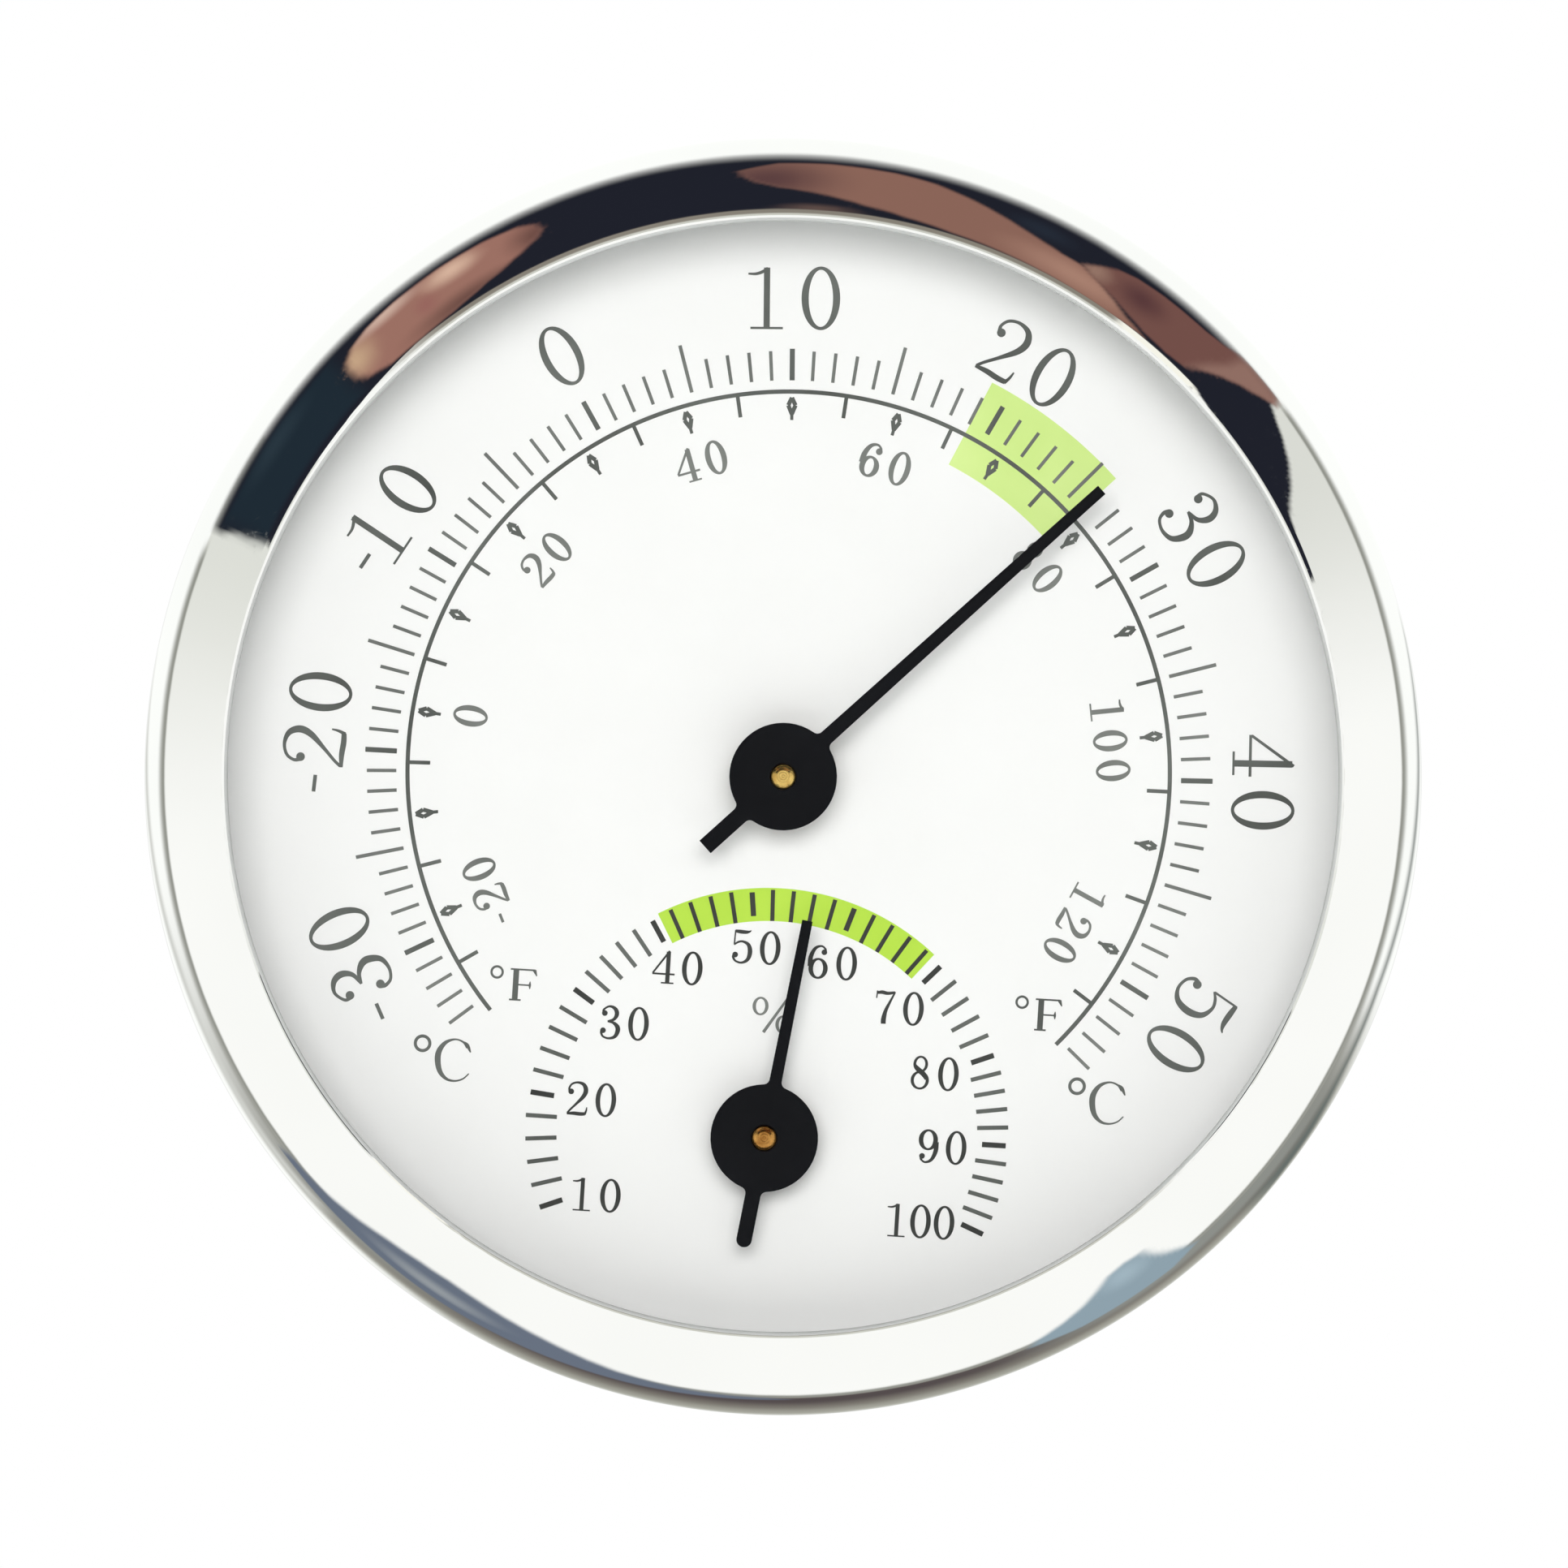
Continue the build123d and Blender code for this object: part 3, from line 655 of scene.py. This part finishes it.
def print_fahrenheit():
    """The inner temperature scale: an arc with ticks and small lozenges hanging inside it."""
    marks, figures = Print(), Print()
    sweep(marks, TEMPERATURE_CENTRE, FAHRENHEIT_ARC, -132, 132, 0.2)
    for degree in range(-25, 130, 10):
        tick(marks, TEMPERATURE_CENTRE, fahrenheit_angle(degree), FAHRENHEIT_TICKS, FAHRENHEIT_ARC, 0.18)
    waist = math.degrees(0.17 / 17.4)
    for degree in range(-20, 121, 10):
        angle = fahrenheit_angle(degree)
        top = polar(TEMPERATURE_CENTRE, 17.78, angle)
        bottom = polar(TEMPERATURE_CENTRE, FAHRENHEIT_TICKS, angle)
        for side in (-waist, waist):
            corner = polar(TEMPERATURE_CENTRE, 17.42, angle + side)
            marks.strip([top, corner], 0.2)
            marks.strip([corner, bottom], 0.2)
        tick(marks, TEMPERATURE_CENTRE, angle, 16.72, 17.1, 0.15)
    for degree in range(-20, 121, 20):
        angle = fahrenheit_angle(degree)
        right = FAHRENHEIT_SHIFTS.get(degree, 0)
        middle = polar(TEMPERATURE_CENTRE, FAHRENHEIT_TEXT, angle + math.degrees(right / FAHRENHEIT_TEXT))
        lettering(figures, str(degree), middle, angle, 1.62, 1.42, -0.3, weight=1.4)
    marks.laid("fahrenheit_marks", INK_THICKNESS, INK, "scale_ink")
    figures.laid("fahrenheit_figures", INK_THICKNESS, THIN_INK, "scale_ink")


def print_humidity():
    """The small scale below: a tick for every two per cent, and upright figures inside it."""
    heavy, thin, figures = Print(), Print(), Print()
    for percent in range(10, 101, 2):
        if percent % 10 == 0:
            tick(heavy, HUMIDITY_CENTRE, humidity_angle(percent), *HUMIDITY_TENS, 0.25)
        else:
            ink = heavy if 40 < percent < 70 else thin  # darker on the green band
            tick(ink, HUMIDITY_CENTRE, humidity_angle(percent), *HUMIDITY_TICKS, 0.2)
    for percent in range(10, 101, 10):
        angle = humidity_angle(percent) + (5 if percent == 100 else 0)
        right, up = HUMIDITY_NUDGES[percent]
        x, z = polar(HUMIDITY_CENTRE, HUMIDITY_TEXT, angle)
        middle = (x + right, z + up)
        advance = 1.12 if percent == 100 else 1.34
        lettering(figures, str(percent), middle, 0, 1.58, advance, weight=1.22)
    sign = Print()
    lettering(sign, "%", (0.22, -11.31), 0, 1.69, 0, weight=1.2)
    heavy.laid("humidity_tens", INK_THICKNESS, DARK_INK, "scale_ink")
    thin.laid("humidity_twos", INK_THICKNESS, INK, "scale_ink")
    figures.laid("humidity_figures", INK_THICKNESS, DARK_INK, "scale_ink")
    sign.laid("percent_sign", INK_THICKNESS, THIN_INK, "scale_ink")


def print_units():
    """The four unit signs at the ends of the temperature scale, each with its degree ring."""
    signs = Print()
    for x, z in ((-12.06, -10.61), (12.87, -10.52)):
        lettering(signs, "F", (x, z), 0, 1.5, 0, weight=1.2)
        signs.ring((x - 0.91, z + 0.54), (0.32, 0.32), (0.21, 0.21))
    for x, z in ((-14.79, -14.36), (16.30, -14.50)):
        lettering(signs, "C", (x, z), 0, 2.02, 0)
        signs.ring((x - 1.5, z + 0.70), (0.42, 0.42), (0.27, 0.27))
    signs.laid("unit_signs", INK_THICKNESS, INK, "scale_ink")


def band(ink, centre, inner, outer, start, stop):
    """A part of a ring between two radii and two dial angles."""
    sweep(ink, centre, (inner + outer) / 2, start, stop, outer - inner)


def print_bands():
    """The two comfort bands, under the ticks."""
    warm, damp = Print(), Print()
    band(warm, TEMPERATURE_CENTRE, 16.46, 20.86, 24.0, 44.6)
    band(damp, HUMIDITY_CENTRE, 9.97, 11.54, -30.1, 40.0)
    warm.laid("temperature_comfort_band", BAND_THICKNESS, LIGHT_GREEN, "scale_green")
    damp.laid("humidity_comfort_band", BAND_THICKNESS, LIVELY_GREEN, "scale_green")


print_celsius()
print_fahrenheit()
print_humidity()
print_units()
print_bands()


# ---------------------------------------------------------------- coils
STRIP_THICKNESS = 0.2
STRIP_EDGE = 0.03  # the width of the bevel along its edges
COIL_START_RADIUS = 1.75
COIL_PITCH = 1.2
HALF_TURNS = 10
COIL_TAB = 0.8
TAB_BEND = 0.15
ARM_ANGLES = {"temperature": -35.0, "humidity": 125.0}


def coil_line():
    """The strip's centre line from its inner tab to its outer one, with the arm's direction as +v."""
    corner = (STRIP_THICKNESS / 2 - TAB_BEND, COIL_START_RADIUS - TAB_BEND)
    points = [(STRIP_THICKNESS / 2, COIL_START_RADIUS + STRIP_THICKNESS / 2 - COIL_TAB)]
    points += arc(corner, (TAB_BEND, TAB_BEND), 0, 90, 7)
    for half_turn in range(HALF_TURNS):
        centre = (0, COIL_PITCH / 2 * (half_turn % 2))
        radius = COIL_START_RADIUS + half_turn * COIL_PITCH / 2
        start = 90 + 180 * (half_turn % 2)
        if half_turn == 0:
            points += arc(centre, (radius, radius), start + 4, start + 180, 33)
        else:
            points += arc(centre, (radius, radius), start, start + 180, 33)[1:]
    points.append((points[-1][0] - COIL_TAB, points[-1][1]))
    return np.array(points)


def coil(movement, two_metals):
    """A wound strip round the arbor, from its inner end there to its outer end at the arm's pin."""
    node = movement + "_coil"
    low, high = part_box(node)
    front, rear = -low.y / MM, -high.y / MM
    line = coil_line()
    along = np.gradient(line, axis=0)
    along /= np.linalg.norm(along, axis=1, keepdims=True)
    side = np.stack([-along[:, 1], along[:, 0]], 1)
    a = math.radians(ARM_ANGLES[movement])
    x, z = AXES[movement]
    half = STRIP_THICKNESS / 2
    flat = half - STRIP_EDGE
    section = [(half, rear + STRIP_EDGE), (half, front - STRIP_EDGE), (flat, front), (-flat, front)]
    section += [(-u, front + rear - depth) for u, depth in section]
    vertices = []
    for point, across in zip(line, side):
        for offset, depth in section:
            u, v = point + across * offset
            right, up = u * math.cos(a) + v * math.sin(a), v * math.cos(a) - u * math.sin(a)
            vertices.append((x + right, depth, z + up))
    count, rows = len(section), len(line)
    faces = [list(range(count)), list(range((rows - 1) * count, rows * count))[::-1]]
    for row in range(rows - 1):
        for i in range(count):
            j = (i + 1) % count
            faces.append([row * count + i, (row + 1) * count + i, (row + 1) * count + j, row * count + j])
    strip = new_object(node + "_strip", vertices, faces)
    for metal in two_metals:
        strip.data.materials.append(metal)
    for index, polygon in enumerate(strip.data.polygons):
        around = (index - 2) % count  # the first two faces are the strip's ends
        polygon.material_index = int(index >= 2 and around in (4, 5, 6))
        polygon.use_smooth = index >= 2
    strip.data.set_sharp_from_angle(angle=math.radians(35))
    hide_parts(node)
    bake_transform(strip)
    length = np.concatenate([[0], np.cumsum(np.linalg.norm(np.diff(line, axis=0), axis=1))])
    share = np.clip(1 - (length - COIL_TAB) / (length[-1] - 2 * COIL_TAB), 0, 1)
    np.repeat(share, count).astype(np.float32)
    return strip


ROLLED_STEEL = worked_metal(
    "rolled_steel", (0.66, 0.65, 0.62), (0.55, 0.54, 0.51), (0.24, 0.4), (1, 8, 1), 0.6, 0.003,
)
ROLLED_BRASS = worked_metal(
    "rolled_brass", linear(214, 176, 104), linear(182, 142, 80), (0.26, 0.42), (1, 8, 1), 0.6, 0.003,
)
PAPER = moulded("cream_paper", linear(226, 208, 164), linear(206, 184, 136), 0.75, 0.02, 0.25)
coil("temperature", (ROLLED_STEEL, ROLLED_BRASS))
coil("humidity", (PAPER, ROLLED_BRASS))


# ---------------------------------------------------------------- finishes of the frame's own pieces
PAINT = moulded("pointer_paint", linear(15, 16, 20), linear(11, 12, 16), 0.4, 0.002, 0.2, shine=0.1)
for movement, brass in (("temperature", GOLD_BRASS), ("humidity", BRONZE_BRASS)):
    MATERIALS[movement + "_pointer"] = PAINT
    for part in ("front_bush", "pointer_boss", "arbor", "coil_collet", "coil_pin", "calibration_screw"):
        MATERIALS[f"{movement}_{part}"] = brass
    for part in ("bridge", "bridge_posts", "bridge_screws", "friction_washer", "coil_arm"):
        MATERIALS[f"{movement}_{part}"] = PLATED
for node, material in MATERIALS.items():
    for slot in frame["nodes"][node].material_slots:
        slot.material = material


# ---------------------------------------------------------------- surroundings
# Directions round the object: around is a dial angle, away is the angle from the line to the reader, so 90 is
# in the dial's plane and 180 is straight into the wall. from_six is a dial angle counted from six o'clock.
ROOM_RADIUS = 0.6
STEEL_SHARE = 0.95  # of the room's light, what the polished ring returns


def ramp(value, start, stop):
    """0 up to start, 1 from stop on, with a smooth step between."""
    t = np.clip((value - start) / (stop - start), 0, 1)
    return t * t * (3 - 2 * t)


class Room:
    """What polished surfaces mirror: a sphere painted with soft-edged shapes."""

    AWAY_SCALE = 3.0  # degrees of away that look as wide as one of around

    def __init__(self, colour):
        self.around, self.away = np.meshgrid(np.linspace(-180, 180, 721), np.linspace(0, 180, 181))
        self.from_six = np.mod(self.around, 360) - 180
        self.paint = np.empty((*self.around.shape, 3))
        self.paint[:] = linear(*colour)

    def lay(self, colour, cover):
        """Lays a screen colour on, in full where cover is 1 and not at all where it is 0."""
        self.paint += np.asarray(cover)[..., None] * (np.array(linear(*colour)) - self.paint)

    def patch(self, corners, soft, around=None):
        """The cover of a closed shape with (around, away) corners, with a soft edge in degrees of around."""
        here = np.stack([self.around if around is None else around, self.away / self.AWAY_SCALE], -1)
        outline = np.array(corners, float) / (1, self.AWAY_SCALE)
        nearest = np.full(self.around.shape, np.inf)
        inside = np.zeros(self.around.shape, bool)
        for start, stop in zip(outline, np.roll(outline, -1, 0)):
            along = stop - start
            share = np.clip((here - start) @ along / (along @ along), 0, 1)
            nearest = np.minimum(nearest, np.linalg.norm(here - start - share[..., None] * along, axis=-1))
            if along[1]:
                straddled = (start[1] > here[..., 1]) != (stop[1] > here[..., 1])
                crossing = start[0] + (here[..., 1] - start[1]) / along[1] * along[0]
                inside ^= straddled & (here[..., 0] < crossing)
        return ramp(np.where(inside, nearest, -nearest), -soft, soft)

    def spot(self, around, away, half_around, half_away):
        """The cover of a soft oval: full in its middle, nothing at its edge."""
        reach = np.hypot((self.around - around) / half_around, (self.away - away) / half_away)
        return 1 - ramp(reach, 0, 1)

    def hang(self, name):
        """Makes the painted sphere, which only mirrors see."""
        a, b = np.radians(self.around), np.radians(self.away)
        points = np.stack([np.sin(b) * np.sin(a), -np.cos(b), np.sin(b) * np.cos(a)], -1) * ROOM_RADIUS
        rows, columns = self.around.shape
        corner = (np.arange(rows - 1)[:, None] * columns + np.arange(columns - 1)).ravel()
        faces = np.stack([corner, corner + 1, corner + columns + 1, corner + columns], 1)
        mesh = bpy.data.meshes.new(name)
        mesh.from_pydata(points.reshape(-1, 3).tolist(), [], faces.tolist())
        colours = np.ones((rows * columns, 4))
        colours[:, :3] = self.paint.reshape(-1, 3) / STEEL_SHARE
        paint = mesh.color_attributes.new("paint", "FLOAT_COLOR", "POINT")
        paint.data.foreach_set("color", colours.ravel())
        material, tree, shader = material_nodes(name)
        tree.nodes.remove(shader)
        painted = add(tree, "ShaderNodeAttribute", {"attribute_name": "paint"})
        emission = add(tree, "ShaderNodeEmission", Color=painted.outputs["Color"], Strength=1.0)
        output = next(n for n in tree.nodes if n.type == "OUTPUT_MATERIAL")
        tree.links.new(emission.outputs[0], output.inputs["Surface"])
        mesh.materials.append(material)
        thing = bpy.data.objects.new(name, mesh)
        bpy.context.scene.collection.objects.link(thing)
        for rays in ("camera", "diffuse", "shadow", "transmission", "volume_scatter"):
            setattr(thing, "visible_" + rays, False)
        return thing


def paint_white_walls(room):
    """White that greys towards the dark window, and the bright sheet behind the object."""
    left = room.around < -60
    right = room.around > 45
    room.lay((221, 222, 216), ramp(room.around, -102, -70) * left)
    room.lay((216, 217, 211), (1 - ramp(room.around, 55, 84)) * right)
    room.lay((251, 252, 250), ramp(room.away, 88, 92))


def paint_window(room):
    """A dark window above, with four warm brown shapes in front of it."""
    below_sheet = 1 - ramp(room.away, 81, 99)
    window = [
        (-70, 104), (-70, 78), (-69.4, 60), (-69, 31), (-69, 8), (-54, 8), (-47, 24), (-44, 31.5),
        (0, 32), (32, 31.5), (43, 31), (44.5, 8), (66, 8), (66, 27), (61, 31.5), (59, 35.5), (58, 42),
        (56.5, 50), (54.5, 60), (52.5, 68), (50.5, 74), (49.3, 79), (49, 104),
    ]
    brow = ramp(room.around, -52, -38) * (1 - ramp(room.around, 31, 35))
    room.lay((204, 204, 196), brow * (room.away < 40))
    room.lay((135, 129, 119), brow * ramp(room.away, 6, 16) * (room.away < 40))
    room.lay((247, 245, 234), room.patch([(33, 5), (43.5, 5), (43.5, 31.5), (33, 31.5)], 0.7))
    room.lay((31, 33, 43), room.patch(window, 0.45) * below_sheet)
    room.lay((31, 43, 53), room.patch([(-69, 33), (-51, 33), (-51, 80), (-69, 80)], 1.5))
    room.lay((46, 60, 70), 0.6 * room.spot(-60, 72, 7, 14))
    room.lay((38, 45, 57), 0.8 * room.spot(22, 70, 5, 12))
    oval = [
        (-50.4, 58), (-50, 66), (-48.8, 73), (-46.5, 77.5), (-43, 79.5), (-38, 80), (-33, 79),
        (-29.5, 76), (-27.8, 70), (-27.4, 63), (-28.4, 56), (-30.4, 49), (-33, 43), (-36, 38.5),
        (-39, 35), (-43, 33), (-47, 33.5), (-49.5, 40), (-50.3, 48),
    ]
    cover = room.patch(oval, 0.7)
    room.lay((156, 112, 100), cover)
    room.lay((108, 76, 69), cover * room.spot(-36, 38, 11, 15))
    room.lay((104, 72, 66), cover * room.spot(-27.5, 60, 5, 24))
    room.lay((196, 163, 133), cover * room.spot(-49.5, 61, 4, 26))
    room.lay((205, 174, 160), cover * room.spot(-44.5, 77, 6, 12))
    room.lay((214, 178, 157), cover * room.spot(-36.8, 71, 4.5, 15))
    room.lay((150, 98, 93), 0.7 * cover * room.spot(-40.5, 56, 2, 14))
    middle = [
        (-7.6, 72), (-7.2, 66), (-6, 60), (-4, 54), (-0.8, 50), (2, 45.5), (5, 41), (9, 37), (14, 34),
        (22, 32.5), (31, 31), (36, 33), (33, 38), (31, 44), (29, 50), (27, 56), (24.5, 56.5), (21, 61),
        (17.5, 67), (14, 73), (11, 77.5), (7, 79.5), (1, 80), (-4, 79),
    ]
    cover = room.patch(middle, 0.6)
    room.lay((139, 101, 89), cover)
    room.lay((92, 64, 64), cover * room.spot(-5, 62, 10, 32))
    room.lay((168, 128, 112), cover * room.spot(27, 44, 11, 18))
    room.lay((102, 82, 76), 0.8 * room.spot(0, 34, 6, 6))
    arm = [
        (27, 58), (28.5, 66), (30, 73), (32, 77), (35, 79), (40, 80), (42, 83), (44, 92), (49.5, 92),
        (49.5, 83), (47.6, 74), (45.6, 65), (43.6, 55), (42, 46), (41, 38), (38.5, 35.5), (35.5, 37),
        (33, 41.5), (30, 48), (28, 53),
    ]
    cover = room.patch(arm, 0.5) * below_sheet
    room.lay((115, 79, 73), cover)
    room.lay((148, 116, 103), cover * room.spot(28.2, 59, 2.4, 17))
    room.lay((89, 58, 59), cover * room.spot(33.5, 61, 4, 20))
    lit_side = [(41.2, 38), (42.6, 40), (46, 60), (50, 84), (50, 92), (44.5, 92), (43.6, 70), (42, 52)]
    room.lay((144, 110, 100), cover * room.patch(lit_side, 0.9))


def paint_sheet_edge(room):
    """The thin grey line round the horizon, where the sheet ends, which hides under the dark window."""
    sides = 1 - room.patch([(-72, 70), (50, 70), (50, 120), (-72, 120)], 1.5)
    line = ramp(room.away, 84.5, 87.5) * (1 - ramp(room.away, 86, 103))
    room.lay((140, 141, 134), line * sides)


def paint_below(room):
    """The darker side below: nearly black at the horizon, grey behind, and two pale blue gleams."""
    sides = np.where(room.from_six > 0, 1 - ramp(room.from_six, 14, 80), ramp(room.from_six, -76, -56))
    cover = sides * ramp(room.away, 88, 92) * (1 - ramp(room.away, 122, 148) * ramp(room.from_six, 18, 42))
    dusk = np.abs(room.from_six)
    room.lay((196, 197, 189), cover)
    room.lay((160, 159, 150), cover * (1 - ramp(room.away, 138, 168)))
    room.lay((118, 113, 107), cover * (1 - ramp(room.away, 112, 142)))
    room.lay((84, 76, 77), cover * (1 - ramp(room.away, 98, 118)) * (1 - ramp(dusk, 16, 44)))
    room.lay((150, 154, 150), 0.7 * cover * (1 - ramp(room.away, 104, 126)) * ramp(dusk, 22, 40))
    gleam = [
        (-4, 93), (-2, 90), (5, 88), (12, 84.5), (20, 76.5), (27, 71), (30, 69.5), (33, 70.5), (37, 74),
        (40, 79), (44, 85), (49, 89.5), (50, 100), (30, 106), (10, 100),
    ]
    cover = room.patch(gleam, 0.9, room.from_six)
    room.lay((104, 113, 129), cover)
    middle = np.hypot((room.from_six - 31) / 10, (room.away - 86) / 9)
    room.lay((158, 163, 168), 0.8 * cover * (1 - ramp(middle, 0, 1)))
    gleam = [
        (-45, 93), (-44, 85), (-42.3, 76), (-41, 66), (-40.4, 59.5), (-38.5, 58), (-36.5, 60.5),
        (-35, 67), (-33, 74), (-30.5, 80), (-27.5, 86), (-27, 92), (-32, 102), (-42, 104),
    ]
    cover = room.patch(gleam, 0.8, room.from_six)
    room.lay((142, 161, 173), cover)
    middle = np.hypot((room.from_six + 38) / 4, (room.away - 68) / 16)
    room.lay((168, 188, 200), 0.7 * cover * (1 - ramp(middle, 0, 1)))


def paint_own_shade(room):
    """Shade that the object throws on the sheet, seen in the outermost edge."""
    left = [
        (-136, 112), (-110, 119), (-92, 140), (-84, 154), (-92, 158), (-100, 146), (-115, 132),
        (-136, 126),
    ]
    room.lay((206, 207, 203), room.patch(left, 3))
    right = [
        (74, 152), (92, 139), (106, 124), (114, 128), (120, 144), (128, 150), (128, 120), (106, 113),
        (94, 126), (80, 140),
    ]
    room.lay((104, 111, 108), room.patch(right, 4))
    room.lay((212, 213, 211), 0.8 * ramp(room.away, 150, 176) * ramp(np.abs(room.around), 62, 80))


def paint_room():
    room = Room((249, 249, 247))
    paint_white_walls(room)
    paint_window(room)
    paint_sheet_edge(room)
    paint_below(room)
    paint_own_shade(room)
    room.hang("mirrored_room")


paint_room()


def direction(around, away):
    """The unit vector of a direction round the object."""
    a, b = math.radians(around), math.radians(away)
    return Vector((math.sin(b) * math.sin(a), -math.cos(b), math.sin(b) * math.cos(a)))


def soft_light(name, around, away, size, power):
    """A round soft light that faces the object and doesn't show in mirrors."""
    lamp = bpy.data.lights.new(name, "AREA")
    lamp.shape = "DISK"
    lamp.size = size
    lamp.energy = power
    lamp.color = LIGHT_COLOUR
    thing = bpy.data.objects.new(name, lamp)
    thing.location = direction(around, away) * LIGHT_DISTANCE
    thing.rotation_mode = "QUATERNION"
    thing.rotation_quaternion = thing.location.to_track_quat("Z", "Y")
    thing.visible_glossy = False
    thing.visible_camera = False
    bpy.context.scene.collection.objects.link(thing)


LIGHT_DISTANCE = 1.4
LIGHT_COLOUR = (1.0, 0.993, 0.99)
soft_light("left_light", -38, 15.2, 0.76, 7.85)
soft_light("right_light", 29, 18.0, 0.70, 5.15)


FILL_IN_FRONT = 0.2
FILL_BEHIND = 1.5


def surroundings():
    """A white world to the camera, and a soft fill that is stronger from behind the object."""
    world = bpy.data.worlds.new("white_room")
    world.use_nodes = True
    tree = world.node_tree
    tree.nodes.clear()
    towards = add(tree, "ShaderNodeSeparateXYZ", Vector=add(tree, "ShaderNodeTexCoord").outputs["Generated"])
    strength = ranged(tree, towards.outputs["Y"], FILL_IN_FRONT, FILL_BEHIND, 0.0, 0.4)
    fill = add(tree, "ShaderNodeBackground", Color=(0.96, 1.0, 0.99, 1), Strength=strength)
    seen = add(tree, "ShaderNodeBackground", Color=(1, 1, 1, 1), Strength=1.0)
    path = add(tree, "ShaderNodeLightPath")
    to_camera = add(tree, "ShaderNodeMixShader", Fac=path.outputs["Is Camera Ray"])
    tree.links.new(fill.outputs[0], to_camera.inputs[1])
    tree.links.new(seen.outputs[0], to_camera.inputs[2])
    output = add(tree, "ShaderNodeOutputWorld")
    tree.links.new(to_camera.outputs[0], output.inputs["Surface"])
    bpy.context.scene.world = world


surroundings()

FLOOR_DEPTH = 300.0
FLOOR_RADIUS = 1500.0
rim = arc((0, 0), (FLOOR_RADIUS, FLOOR_RADIUS), 0, 355, 72)
floor = new_object("floor", [(x, y, -FLOOR_DEPTH) for x, y in rim], [tuple(range(len(rim)))])
floor.data.materials.append(moulded("pale_floor", (0.93, 0.93, 0.925), (0.91, 0.91, 0.905), 0.7, 0.05, 4.0))
floor.visible_glossy = False


# ---------------------------------------------------------------- camera
LENS = 1000.0
SENSOR = 36.0
FRAME_WIDTH = 74.24
AIM_DEPTH = 10.5
AIM = (0.04, -0.35)  # the frame's centre, right of and above the case's axis
ROLL = 3.5  # the case hangs this far clockwise in the frame


def make_camera():
    data = bpy.data.cameras.new("camera")
    data.lens = LENS
    data.sensor_width = SENSOR
    camera = bpy.data.objects.new("camera", data)
    bpy.context.scene.collection.objects.link(camera)
    roll = math.radians(ROLL)
    right = Vector((math.cos(roll), 0, math.sin(roll)))
    up = Vector((-math.sin(roll), 0, math.cos(roll)))
    back = Vector((0, -1, 0))
    distance = FRAME_WIDTH * LENS / SENSOR + AIM_DEPTH
    place = (right * AIM[0] + up * AIM[1] + back * distance) * MM
    turn = Matrix((right, up, back)).transposed().to_4x4()
    camera.matrix_world = Matrix.Translation(place) @ turn
    data.clip_start = 0.01
    data.clip_end = 10.0
    bpy.context.scene.camera = camera


make_camera()
bpy.context.scene.view_settings.view_transform = "Standard"
